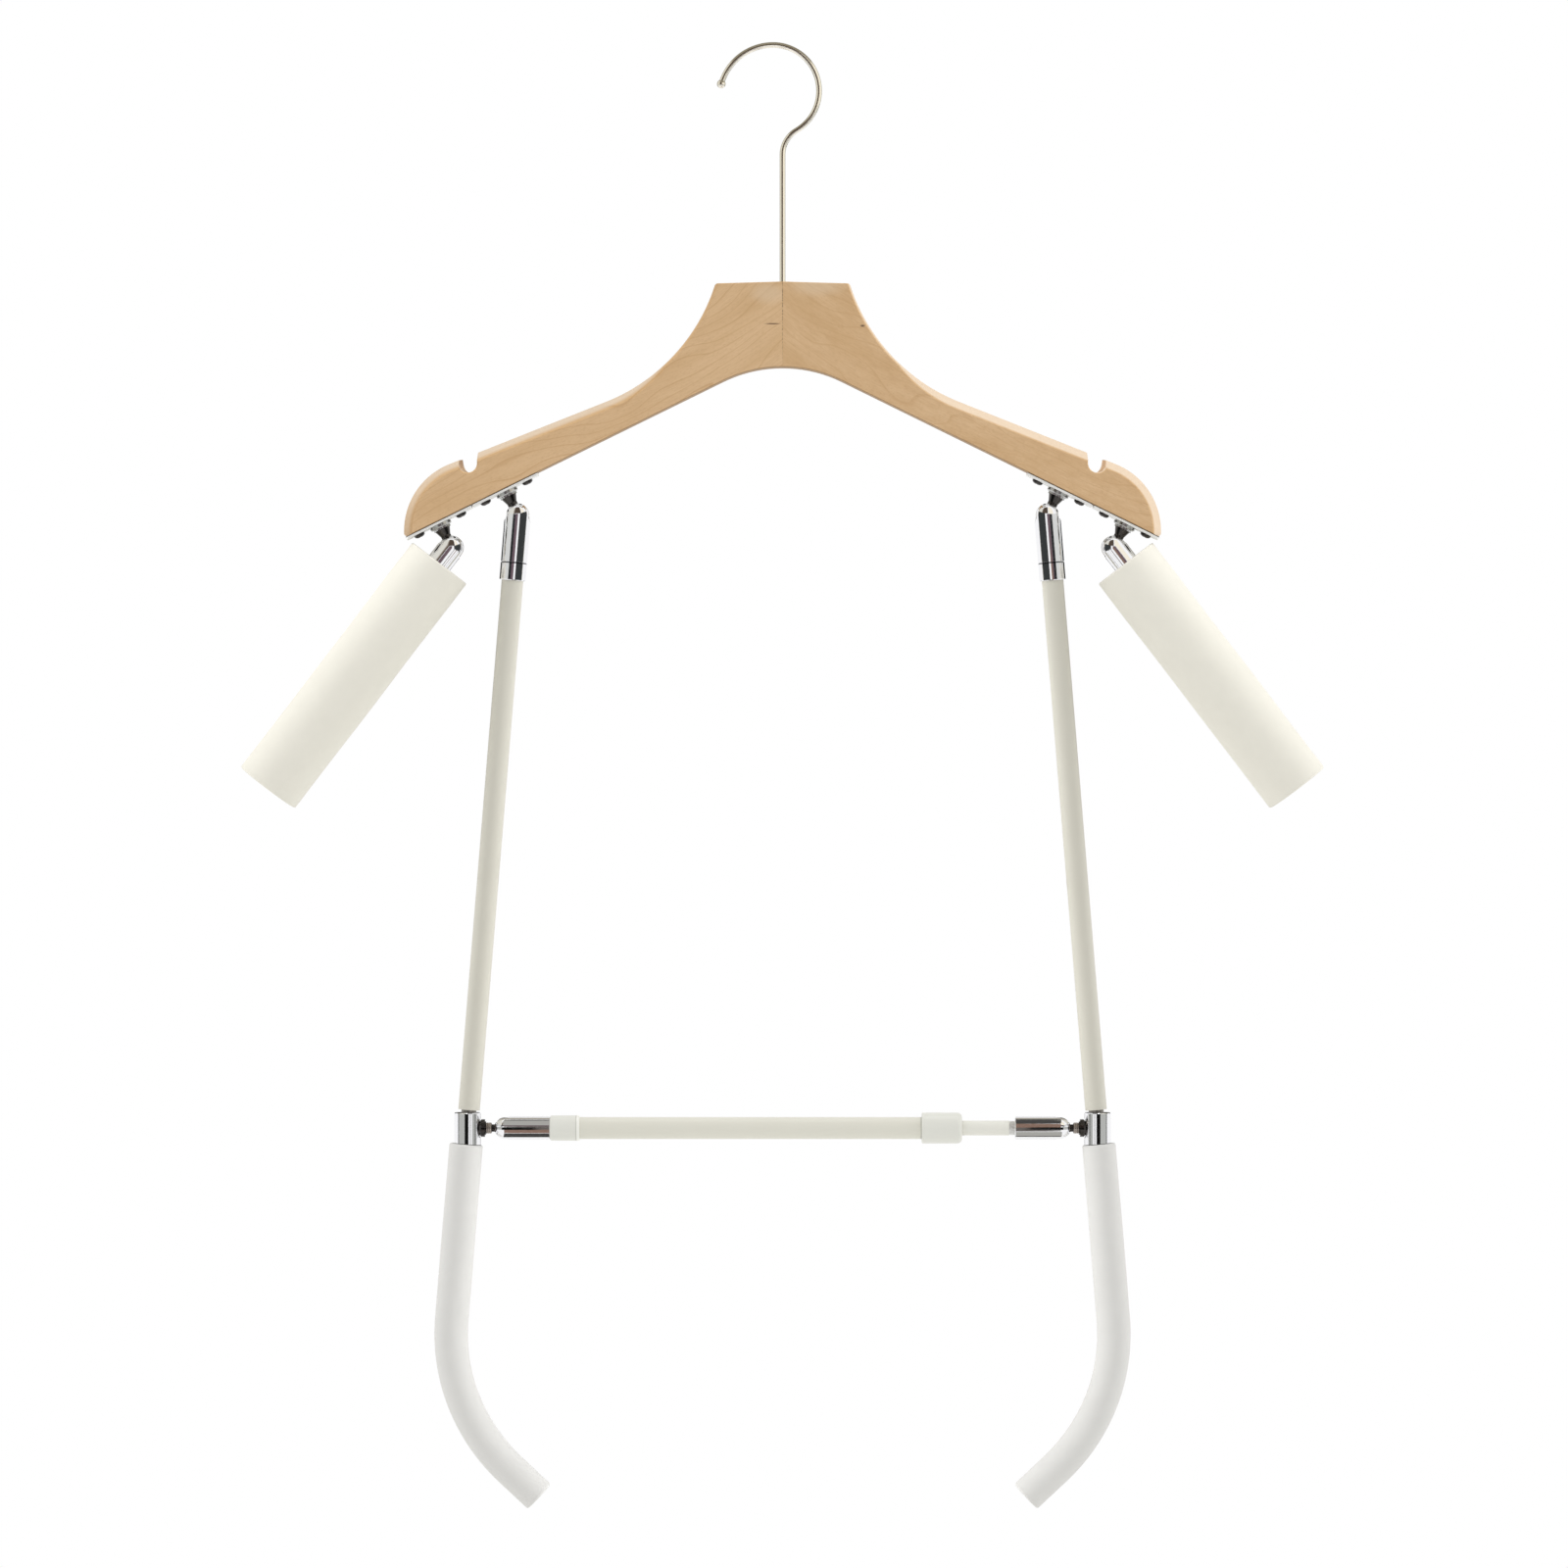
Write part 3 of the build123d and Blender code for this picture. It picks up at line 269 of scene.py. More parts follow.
class HANGER_PG_foam(bpy.types.PropertyGroup):
    """Foam arms and hips."""

    arm: colour("Arm foam", "Cream foam of the arms", "#E7E4D9")
    hip: colour("Hip foam", "White foam of the hips", "#D6D5D2")
    arm_round: length("Arm rim", "Rounding of an arm's rims", 1.0)
    hip_round: length("Hip rim", "Rounding of a hip's rims", 1.2)
    arm_wave: length("Arm waviness", "How far an arm wanders from a true cylinder", 0.12)
    hip_wave: length("Hip waviness", "How far a hip wanders from a true tube", 0.072)
    lip: length("Lip", "Rounding of the lip round an arm's socket", 0.6)
    bore_depth: length("Bore depth", "Depth of the open bore round an arm's socket", 8)
    hub: length("Hub", "Radius of the innermost ring of an end face", 1)
    bend_radius: length("Bend radius", "Radius of a hip's bend, at its middle", 98)
    bend: angle("Bend", "Turn of a hip's bend", 51.6)
    bend_start: length("Bend start", "From the collar's middle to the start of the bend", 101.5)
    bend_end: length("Bend end", "Straight run beyond the bend", 21.5)
    sides: count("Sides", "Points round a foam piece", 96)
    arm_rings: count("Arm rings", "Rings along an arm", 90)
    hip_rings: count("Hip rings", "Rings along a hip", 160)


class HANGER_PG_threads(bpy.types.PropertyGroup):
    """Pan-head screws with cross recesses, and the threads of the waist bar's studs."""

    plate: length("Plate", "Thickness of the plates under the heads", 1.5)
    pitch: length("Pitch", "Between the two screws of a plate", 24.6)
    head: length("Head", "Diameter of a head", 5.8)
    head_height: length("Head height", "Height of a head", 1.9)
    head_side: length("Head side", "Height of a head's straight side", 0.6)
    shank: length("Shank", "Diameter of a screw over its thread", 3.0)
    shank_length: length("Shank length", "Length of a screw under its head", 13)
    point: length("Point", "Length of a screw's tapered point", 3)
    lead: length("Lead", "Rise of a screw's thread in one turn", 1.35)
    ridge: length("Ridge", "Height of a screw's thread", 0.45)
    slot: length("Slot", "Width of a recess's arms", 0.95)
    slot_reach: length("Slot reach", "From a recess's middle to the end of an arm", 1.75)
    slot_depth: length("Slot depth", "Depth of a recess in the middle", 1.1)
    stud_from: length("Stud thread from", "From a collar's middle to the start of a stud's thread", 9.9)
    stud_to: length("Stud thread to", "From a collar's middle to the end of a stud's thread", 12.75)
    stud_root: length("Stud thread root", "Radius at the root of a stud's thread", 2.82)
    stud_ridge: length("Stud thread ridge", "Height of a stud's thread", 0.24)
    stud_lead: length("Stud thread lead", "Rise of a stud's thread in one turn", 0.8)
    sides: count("Sides", "Points round a screw or a thread", 64)
    shank_rings: count("Shank rings", "Rings along a screw's shank", 56)
    crown_rings: count("Crown rings", "Rings across a head's crown", 26)
    stud_rings: count("Stud rings", "Rings along a stud's thread", 40)


def add_node(tree, kind, inputs=None, **settings):
    """Adds a shader node with its settings and returns the first of its outputs that is in use.

    An input that is given a socket is linked to it, and any other input is set to its value.
    """
    node = tree.nodes.new(f"ShaderNode{kind}")
    for name, value in settings.items():
        setattr(node, name, value)
    for name, value in (inputs or {}).items():
        if isinstance(value, bpy.types.NodeSocket):
            tree.links.new(value, node.inputs[name])
        else:
            node.inputs[name].default_value = value
    return next((socket for socket in node.outputs if socket.enabled), None)


def new_material(name):
    """An empty material and its node tree."""
    material = bpy.data.materials.new(name)
    material.use_nodes = True
    material.node_tree.nodes.clear()
    return material, material.node_tree


def close_material(material, tree, shader):
    """Links the shader to the material's output."""
    add_node(tree, "OutputMaterial", {"Surface": shader})
    return material


def cells(tree, cell_mm, space=None):
    """Object coordinates, or another space, counted in cells of the given size in millimetres."""
    if space is None:
        space = add_node(tree, "TexCoord").node.outputs["Object"]
    return add_node(tree, "Mapping", {"Vector": space, "Scale": tuple(1 / (size * MM) for size in cell_mm)})


def patches(tree, cell_mm, low, high, detail=2.0, space=None, bounds=(0.0, 1.0), rough=0.5, **settings):
    """A value from low to high, in patches of the given size, as a noise goes from one bound to the other."""
    noise = add_node(tree, "TexNoise", {
        "Vector": cells(tree, cell_mm, space), "Scale": 1.0, "Detail": detail, "Roughness": rough})
    return add_node(tree, "MapRange", {
        "Value": noise, "From Min": bounds[0], "From Max": bounds[1], "To Min": low, "To Max": high,
    }, **settings)


def banded(tree, tone, bands):
    """A tone with bands, each a tint where a point's place along an axis lies between a start and a stop."""
    for tint, axis, start, stop in bands:
        place = add_node(tree, "TexCoord").node.outputs["Object"]
        along = add_node(tree, "VectorMath", {0: place, 1: tuple(axis)}, operation="DOT_PRODUCT")
        inside = add_node(tree, "Math", {
            0: along, 1: (start + stop) / 2, 2: (stop - start) / 2}, operation="COMPARE")
        tone = add_node(tree, "Mix", {"Factor": inside, "A": tone, "B": tint}, data_type="RGBA")
    return tone


def dress(material, nodes):
    """Gives CAD nodes a material."""
    for node in nodes:
        slots = frame["nodes"][node].data.materials
        slots.clear()
        slots.append(material)


def both(*parts):
    """The names of the left and right piece of each part."""
    return [f"{side}_{part}" for side in SIDES for part in parts]


def corners_of(node):
    """The corners of a CAD node's mesh, one row each."""
    mesh = frame["nodes"][node].data
    corners = np.empty(len(mesh.vertices) * 3)
    mesh.vertices.foreach_get("co", corners)
    return corners.reshape(-1, 3)


def downward(joint):
    """The axis of a joint, pointing down."""
    axis = np.array(JOINTS[joint]["axis"])
    return -axis * np.sign(axis[2])


def stud_axis(side):
    """The way that a side's studs point: down and towards the middle, square to the wood's underside."""
    return downward(f"{side}_arm_swivel")


def grain_coordinates(tree, place, wood, start):
    """Coordinates that follow a board's grain: out from the seam, through the board and across the lines.

    Across is the height plus the grain's fall. The fall is the distance from the seam times the slope's
    tangent, and near the seam also near times the bow less its square times the bow over twice the reach,
    where near is that distance, at most the reach.
    """
    split = add_node(tree, "SeparateXYZ", {0: place}).node.outputs
    out = add_node(tree, "Math", {0: split["X"]}, operation="ABSOLUTE")
    near = add_node(tree, "Math", {0: out, 1: wood.bow_reach}, operation="MINIMUM")
    ease = add_node(tree, "Math", {
        0: near, 1: -wood.bow / (2 * wood.bow_reach), 2: wood.bow}, operation="MULTIPLY_ADD")
    bowed = add_node(tree, "Math", {0: near, 1: ease, 2: split["Z"]}, operation="MULTIPLY_ADD")
    across = add_node(tree, "Math", {0: out, 1: tan(wood.slope), 2: bowed}, operation="MULTIPLY_ADD")
    along = add_node(tree, "Math", {0: out, 1: start}, operation="ADD")
    grain = add_node(tree, "CombineXYZ", {"X": along, "Y": split["Y"], "Z": across})
    return grain, across, out


def growth_tone(tree, wood, board, grain, across):
    """Soft zones of light and deep wood, and late wood that darkens up to the edge of each growth line.

    A line falls where the height across the grain, counted in gaps, plus a slow wander passes a whole number.
    """
    zone = patches(
        tree, (70, 30, 14), 0.0, 1.0, space=grain, bounds=(0.25, 0.75), **SMOOTH)
    tone = add_node(tree, "Mix", {"Factor": zone, "A": wood.light, "B": wood.middle}, data_type="RGBA")
    wander = patches(tree, (60, 40, 24), 0.0, wood.wander, detail=1.0, space=grain)
    level = add_node(tree, "Math", {0: across, 1: 1 / wood.line_gap, 2: wander}, operation="MULTIPLY_ADD")
    rise = add_node(tree, "Math", {0: level}, operation="FRACT")
    late = add_node(tree, "MapRange", {
        "Value": rise, "From Min": 0.84, "From Max": 1.0, "To Max": board["lines"],
    }, **SMOOTH)
    return add_node(tree, "Mix", {"Factor": late, "A": tone, "B": wood.dark}, data_type="RGBA")


def fine_figure(tree, wood, board, grain, tone):
    """Adds to a tone the mottle, the fibres and the short flecks.

    Each is a tint, its size in millimetres, its detail, the bounds of its noise and its greatest share.
    """
    figures = (
        (wood.dark, (7, 7, 3), 2.0, (0.35, 0.7), board["mottle"]),
        (wood.fleck, FIBRE_MM, 2.0, (0.35, 0.7), 0.2),
        (wood.fleck, (1.6, 0.8, 0.38), 0.0, (0.6, 0.74), 0.25),
    )
    for tint, cell_mm, detail, bounds, most in figures:
        share = patches(tree, cell_mm, 0.0, most, detail, grain, bounds)
        tone = add_node(tree, "Mix", {"Factor": share, "A": tone, "B": tint}, data_type="RGBA")
    return tone


def spotted(tree, place, spot, tone, tint, most):
    """Mixes a tint into a tone, up to a share, in an ellipsoid with a middle and a reach in millimetres."""
    middle, reach = spot
    around_spot = add_node(tree, "Mapping", {
        "Vector": place, "Location": tuple(-at / size for at, size in zip(middle, reach)),
        "Scale": tuple(1 / (size * MM) for size in reach)})
    far = add_node(tree, "VectorMath", {0: around_spot}, operation="LENGTH")
    share = add_node(tree, "MapRange", {
        "Value": far, "From Min": 1.0, "From Max": 0.2, "To Max": most}, **SMOOTH)
    return add_node(tree, "Mix", {"Factor": share, "A": tone, "B": tint}, data_type="RGBA")


def board_marks(tree, wood, board, place, out, tone):
    """Adds to a tone the board's chalky smear, the broken glue line at the seam and the board's dark mark."""
    tone = spotted(tree, place, board["smear"], tone, wood.chalk, 0.4)
    height = add_node(tree, "SeparateXYZ", {0: place}).node.outputs["Z"]
    line = add_node(tree, "MapRange", {
        "Value": out, "From Min": wood.glue_reach, "From Max": wood.glue_core}, **SMOOTH)
    glue = patches(tree, (4, 4, 1.3), 0.15, 1.0, bounds=(0.4, 0.6))
    fade = add_node(tree, "MapRange", {
        "Value": height, "From Min": wood.glue_low, "From Max": wood.glue_high,
        "To Min": 0.15, "To Max": 0.75})
    broken = add_node(tree, "Math", {0: glue, 1: fade}, operation="MULTIPLY")
    seam = add_node(tree, "Math", {0: line, 1: broken}, operation="MULTIPLY")
    tone = add_node(tree, "Mix", {"Factor": seam, "A": tone, "B": wood.stain}, data_type="RGBA")
    return spotted(tree, place, board["mark"], tone, wood.stain, 0.85)


def painted_edge_sheen_and_shade(tree, wood, board, place, tone):
    """Paints a pale sheen on the bevels that face up and shade on the others, off the broad faces.

    A point is off them where its normal's y is far from one. The painted sheen grows with the depth from the
    broad face, falls off again past the bevel, and shows where the normal points as far up as the board says.
    The painted shade shows where it doesn't. Returns the tone and the share of the edge in it.
    """
    normal = add_node(tree, "TexCoord").node.outputs["Normal"]
    ways = add_node(tree, "SeparateXYZ", {0: normal}).node.outputs
    facing = add_node(tree, "Math", {0: ways["Y"]}, operation="ABSOLUTE")
    aside = add_node(tree, "MapRange", {
        "Value": facing, "From Min": 0.985, "From Max": 0.8, "To Max": wood.painted_edge_share,
    }, **SMOOTH)
    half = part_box("left_shoulder")[1].y
    through = add_node(tree, "SeparateXYZ", {0: place}).node.outputs["Y"]
    off_middle = add_node(tree, "Math", {0: through}, operation="ABSOLUTE")
    start, full = (half - depth * wood.bevel for depth in board["painted_sheen_in"])
    grows = add_node(tree, "MapRange", {
        "Value": off_middle, "From Min": start, "From Max": full}, **SMOOTH)
    falls = add_node(tree, "MapRange", {
        "Value": off_middle, "From Min": half - 1.2 * wood.bevel, "From Max": half - wood.bevel,
        "To Min": 0.3})
    # Painted light: the board's pale tone is a sheen painted where a bevel faces up, and the edge shade is
    # shade painted where it doesn't.
    low, high = board["painted_sheen_up"]
    lit_from_above = add_node(tree, "MapRange", {"Value": ways["Z"], "From Min": low, "From Max": high})
    band = add_node(tree, "Math", {0: grows, 1: falls}, operation="MULTIPLY")
    sanded = add_node(tree, "Math", {0: band, 1: lit_from_above}, operation="MULTIPLY")
    painted_shade_ground = add_node(tree, "Mix", {"Factor": lit_from_above, "A": wood.shade, "B": tone}, data_type="RGBA")
    pale = linear(board["edge"])
    edge = add_node(tree, "Mix", {"Factor": sanded, "A": painted_shade_ground, "B": pale}, data_type="RGBA")
    edged = add_node(tree, "Mix", {"Factor": aside, "A": tone, "B": edge}, data_type="RGBA")
    return edged, aside


def beech_planed_lacquered(wood, side):
    """Beech, planed, sanded and clear lacquered.

    To the eye it is pale brown with soft growth lines along the shoulder, short flecks, a sheen painted
    on the edges that face up and shade painted on the others, and a satin film, which the sanding thinned
    on the edges.
    """
    board = BOARDS[side]
    material, tree = new_material(f"{side}_beech_planed_lacquered")
    place = add_node(tree, "TexCoord").node.outputs["Object"]
    grain, across, out = grain_coordinates(tree, place, wood, board["start"])
    grown = growth_tone(tree, wood, board, grain, across)
    figured = fine_figure(tree, wood, board, grain, grown)
    edged, edge = painted_edge_sheen_and_shade(tree, wood, board, place, figured)
    fibre = patches(tree, FIBRE_MM, 0.0, 1.0, space=grain)
    shader = add_node(tree, "BsdfPrincipled", {
        "Base Color": board_marks(tree, wood, board, place, out, edged),
        "Roughness": add_node(tree, "MapRange", {"Value": fibre, "To Min": 0.36, "To Max": 0.48}),
        "Normal": add_node(tree, "Bump", {"Height": fibre, "Strength": 0.2, "Distance": 0.03 * MM}),
        "Specular IOR Level": add_node(tree, "MapRange", {
            "Value": edge, "From Max": wood.painted_edge_share, "To Min": 0.5, "To Max": 0.05}),
        "Coat Weight": add_node(tree, "MapRange", {
            "Value": edge, "From Max": wood.painted_edge_share, "To Min": 0.3, "To Max": 0.0}),
        "Coat Roughness": 0.25})
    return close_material(material, tree, shader)


def metal_finished(name, tint, cell_mm, haze, detail=3.0, metallic=1.0, bands=()):
    """Metal whose shine varies, from the least to the greatest haze, in streaks or patches of its making."""
    material, tree = new_material(name)
    shader = add_node(tree, "BsdfPrincipled", {
        "Base Color": banded(tree, tint, bands), "Metallic": metallic,
        "Roughness": patches(tree, cell_mm, *haze, detail)})
    return close_material(material, tree, shader)


def coat_baked(name, tint, peel_mm, rough, bands=()):
    """Paint or moulded plastic: satin, with the fine ripple of its flow and a slight change of tone."""
    material, tree = new_material(name)
    peel = patches(tree, (peel_mm,) * 3, 0.0, 1.0)
    blotch = patches(tree, (22, 22, 22), 0.97, 1.0)
    tone = add_node(tree, "VectorMath", {0: tint[:3], "Scale": blotch}, operation="SCALE")
    shader = add_node(tree, "BsdfPrincipled", {
        "Base Color": banded(tree, tone, bands), "Roughness": rough,
        "Normal": add_node(tree, "Bump", {"Height": peel, "Strength": 0.15, "Distance": 0.02 * MM})})
    return close_material(material, tree, shader)


def foam_closed_cell(name, tint):
    """Closed-cell foam, cut and heat smoothed: matt, with cells of about a millimetre just to be seen."""
    material, tree = new_material(name)
    bubbles = add_node(tree, "TexVoronoi", {
        "Vector": cells(tree, (0.9, 0.9, 0.9)), "Scale": 1.0, "Smoothness": 0.6}, feature="SMOOTH_F1")
    skin = patches(tree, (9, 9, 9), 0.975, 1.0, detail=4.0, bounds=(0.3, 0.7), rough=0.6)
    shader = add_node(tree, "BsdfPrincipled", {
        "Base Color": add_node(tree, "VectorMath", {0: tint[:3], "Scale": skin}, operation="SCALE"),
        "Roughness": 0.85, "Specular IOR Level": 0.3,
        "Normal": add_node(tree, "Bump", {"Height": bubbles, "Strength": 0.06, "Distance": 0.06 * MM})})
    return close_material(material, tree, shader)


def around(sides):
    """Angles evenly round a circle."""
    return np.linspace(0, 2 * pi, sides, endpoint=False)


def closed_surface(rings, first, last):
    """Points, quads and triangles of rings of points, closed around, with a point that closes each end.

    Ring i joins ring i + 1 by quads, and the end points join the end rings by triangles.
    """
    total, sides = rings.shape[:2]
    index = np.arange(total * sides).reshape(total, sides)
    after = np.roll(index, -1, axis=1)
    quads = np.stack([index[:-1], after[:-1], after[1:], index[1:]], axis=-1).reshape(-1, 4)
    head = np.stack([after[0], index[0], np.full(sides, total * sides)], axis=-1)
    tail = np.stack([index[-1], after[-1], np.full(sides, total * sides + 1)], axis=-1)
    points = np.concatenate([rings.reshape(-1, 3), [first], [last]])
    return points, quads, np.concatenate([head, tail])


def new_object(name, points, faces, material):
    """A mesh object of points and faces, in the scene."""
    mesh = bpy.data.meshes.new(name)
    mesh.from_pydata(points.tolist(), [], faces)
    mesh.materials.append(material)
    made = bpy.data.objects.new(name, mesh)
    bpy.context.scene.collection.objects.link(made)
    return made


def new_piece(name, surfaces, material):
    """A smooth mesh object of one or more closed surfaces, at the origin."""
    points, faces = np.empty((0, 3)), []
    for surface, quads, triangles in surfaces:
        faces += (quads + len(points)).tolist() + (triangles + len(points)).tolist()
        points = np.concatenate([points, surface])
    piece = new_object(name, points, faces, material)
    piece.data.shade_smooth()
    return piece


def turned(start, axis, along, radii):
    """A turned surface: each ring is a circle round the axis, with its radius and its place from the start.

    along and radii have one row a ring and one column a side.
    """
    axis = np.array(axis) / np.linalg.norm(axis)
    across = np.cross(axis, (0.0, 1.0, 0.0))
    across /= np.linalg.norm(across)
    over = np.cross(axis, across)
    turn = around(radii.shape[1])
    spokes = np.outer(np.cos(turn), across) + np.outer(np.sin(turn), over)
    return np.array(start) + along[:, :, None] * axis + radii[:, :, None] * spokes


def thread_ridge(along, turn, lead):
    """Height of a thread from nothing to one: a triangle wave of the place along in leads, less the turn."""
    phase = (along / lead - turn / (2 * pi)) % 1
    return 1 - np.abs(2 * phase - 1)


def round_bar(node):
    """Both ends' middles and the radius of a straight round CAD node, from its corners' main direction."""
    corners = np.unique(corners_of(node).round(7), axis=0)
    middle = (corners.max(axis=0) + corners.min(axis=0)) / 2
    axis = np.linalg.svd(corners - corners.mean(axis=0), full_matrices=False)[2][0]
    along = (corners - middle) @ axis
    radius = np.linalg.norm(corners - middle - np.outer(along, axis), axis=1).max()
    return middle + axis * along.min(), middle + axis * along.max(), radius


def profile(*runs):
    """Joins runs of places along an axis, and of their radii, to one row of each."""
    return np.concatenate([np.broadcast_arrays(*run) for run in runs], axis=1)


def rounded_side(start, stop, radius, rim, rings, steps):
    """The runs of a round piece's side: a quarter circle in steps at each rim, and rings evenly between."""
    turn = np.linspace(0, pi / 2, steps)
    return (
        (start + rim * (1 - np.cos(turn)), radius - rim * (1 - np.sin(turn))),
        (np.linspace(start + rim, stop - rim, rings)[1:-1], radius),
        (stop - rim * (1 - np.sin(turn)), radius - rim * (1 - np.cos(turn))),
    )


def wavy(place, reach, radius, turn, height, waves):
    """Radii of cut foam: the reach less a height that wanders, and less of it towards the axis.

    The height is taken times the fourth power of the reach over the radius, and times one plus half the sum
    of the waves. A wave is the sine of its lobes times the turn plus its twist, a metre, times the place.
    """
    wave = sum(np.sin(lobes * turn + twist * place[:, None]) for lobes, twist in waves)
    return reach[:, None] - height * (reach[:, None] / radius) ** 4 * (1 + wave / 2)


class HANGER_OT_shoulders(bpy.types.Operator):
    """Finishes the two halves of the shoulder bar and the dowel in its seam"""

    bl_idname = "hanger.shoulders"
    bl_label = "Shoulder bar"

    def execute(self, context):
        wood = context.scene.hanger_wood
        for side in SIDES:
            dress(beech_planed_lacquered(wood, side), [f"{side}_shoulder"])
        dress(frame["nodes"]["left_shoulder"].data.materials[0], ["mitre_dowel"])
        return {"FINISHED"}


class HANGER_OT_metal(bpy.types.Operator):
    """Finishes the hook, the plates, the ball joints and the collars"""

    bl_idname = "hanger.metal"
    bl_label = "Hook and metal joints"

    def execute(self, context):
        metal = context.scene.hanger_metal
        # Steel wire, drawn and bright nickel plated: a warm mirror, a little hazy along the draw.
        dress(metal_finished("nickel_wire_drawn", metal.nickel, (1.2, 1.2, 6), (0.14, 0.22)), ["hook"])
        # Turned, drawn or blackened metal: a shine in streaks round the lathe's axis or along the draw.
        dress(metal_finished("brass_turned", metal.brass, (2, 2, 0.3), (0.2, 0.4)), ["hook_bush"])
        dress(metal_finished("steel_drawn", metal.steel, (2, 2, 0.4), (0.3, 0.5)), [
            "hook_nut", *both("arm_core", "hip_rod")])
        dress(metal_finished("aluminium_turned", metal.aluminium, (0.3, 2, 2), (0.55, 0.7)), [
            "bar_right_joiner"])
        # The bar studs are blackened. On their necks, between the threads and the sockets, the dark tone is
        # also painted shade.
        dress(
            metal_finished("steel_blackened_turned", metal.black, (0.4, 2, 2), (0.15, 0.25)), both("bar_stud"))
        # Steel, polished and chrome plated: a mirror with a faint ripple of the plating.
        dress(metal_finished("chrome_plate_polished", metal.chrome, **CHROME), [
            "bar_left_socket", "bar_right_socket", *both("arm_socket", "rod_socket", "collar")])
        for side in SIDES:
            self.banded_pieces(metal, side)
        return {"FINISHED"}

    def banded_pieces(self, metal, side):
        """Finishes a side's ring, plates and studs, whose bands lie along the rod or the studs."""
        # A chrome plated ring, as the sockets are, with a fine dark seam under its socket.
        rod = downward(f"{side}_hip_turn")
        top = float((corners_of(f"{side}_rod_socket") @ rod).max())
        seam = (metal.seam, rod, top, top + metal.seam_width)
        ring = metal_finished(f"{side}_ring_chrome_plate_polished", metal.chrome, **CHROME, bands=[seam])
        dress(ring, [f"{side}_rod_ferrule"])
        axis = stud_axis(side)
        # Steel plate, stamped, zinc plated and tumbled: nearly white and soft, with a shade under the wood.
        for plate in PLATES:
            face = float((corners_of(f"{side}_{plate}") @ axis).min())
            gap = (metal.gap, axis, face - metal.gap_width, face + metal.gap_width)
            zinc = metal_finished(
                f"{side}_{plate}_steel_zinc_plated", metal.zinc, (3, 3, 3), (0.4, 0.55), metallic=0.3,
                bands=[gap])
            dress(zinc, [f"{side}_{plate}"])
        # Steel ball stud, turned: a bright flange and hexagon, with the neck and ball darker.
        for part, joint in STUD_JOINTS.items():
            ball = float(np.dot(JOINTS[f"{side}_{joint}"]["pos_m"], axis))
            black = (metal.black, axis, ball - metal.bright_from, ball + metal.bright_from)
            stud = metal_finished(
                f"{side}_{part}_steel_part_chromed", metal.flange, (2, 2, 0.3), (0.18, 0.3), detail=2.0,
                bands=[black])
            dress(stud, [f"{side}_{part}"])


class HANGER_OT_coats(bpy.types.Operator):
    """Finishes the side tubes, the waist bar and the nylon pieces"""

    bl_idname = "hanger.coats"
    bl_label = "Tubes and waist bar"

    def execute(self, context):
        coats = context.scene.hanger_coats
        bar = (1.0, 0.0, 0.0)
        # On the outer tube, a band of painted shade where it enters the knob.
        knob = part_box("lock_knob")[0].x
        gap = (coats.painted_shade_line, bar, knob - coats.knob_gap, knob)
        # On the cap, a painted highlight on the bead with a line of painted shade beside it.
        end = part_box("bar_end_cap")[1].x
        bead = (coats.bright, bar, end - coats.bead, end)
        painted_shade_line = (coats.painted_shade_line, bar, end - coats.bead - coats.groove_width, end - coats.bead)
        dress(coat_baked("steel_powder_coated_cream", coats.cream, 1.1, 0.42), both("rod_tube"))
        dress(coat_baked("steel_painted_off_white", coats.bar, 0.9, 0.38, [gap]), ["bar_outer_tube"])
        dress(coat_baked("steel_painted_white", coats.inner_bar, 0.9, 0.38), ["bar_inner_tube"])
        dress(coat_baked("abs_moulded_off_white", coats.plastic, 0.5, 0.35), ["lock_knob"])
        dress(coat_baked("abs_moulded_with_bead", coats.plastic, 0.5, 0.35, [painted_shade_line, bead]), ["bar_end_cap"])
        dress(coat_baked("nylon_moulded_natural", coats.nylon, 0.6, 0.5), [
            "bar_collet", "bar_guide", "bar_left_joiner",
            *both("arm_liner", "arm_pad", "rod_liner", "rod_pad")])
        return {"FINISHED"}


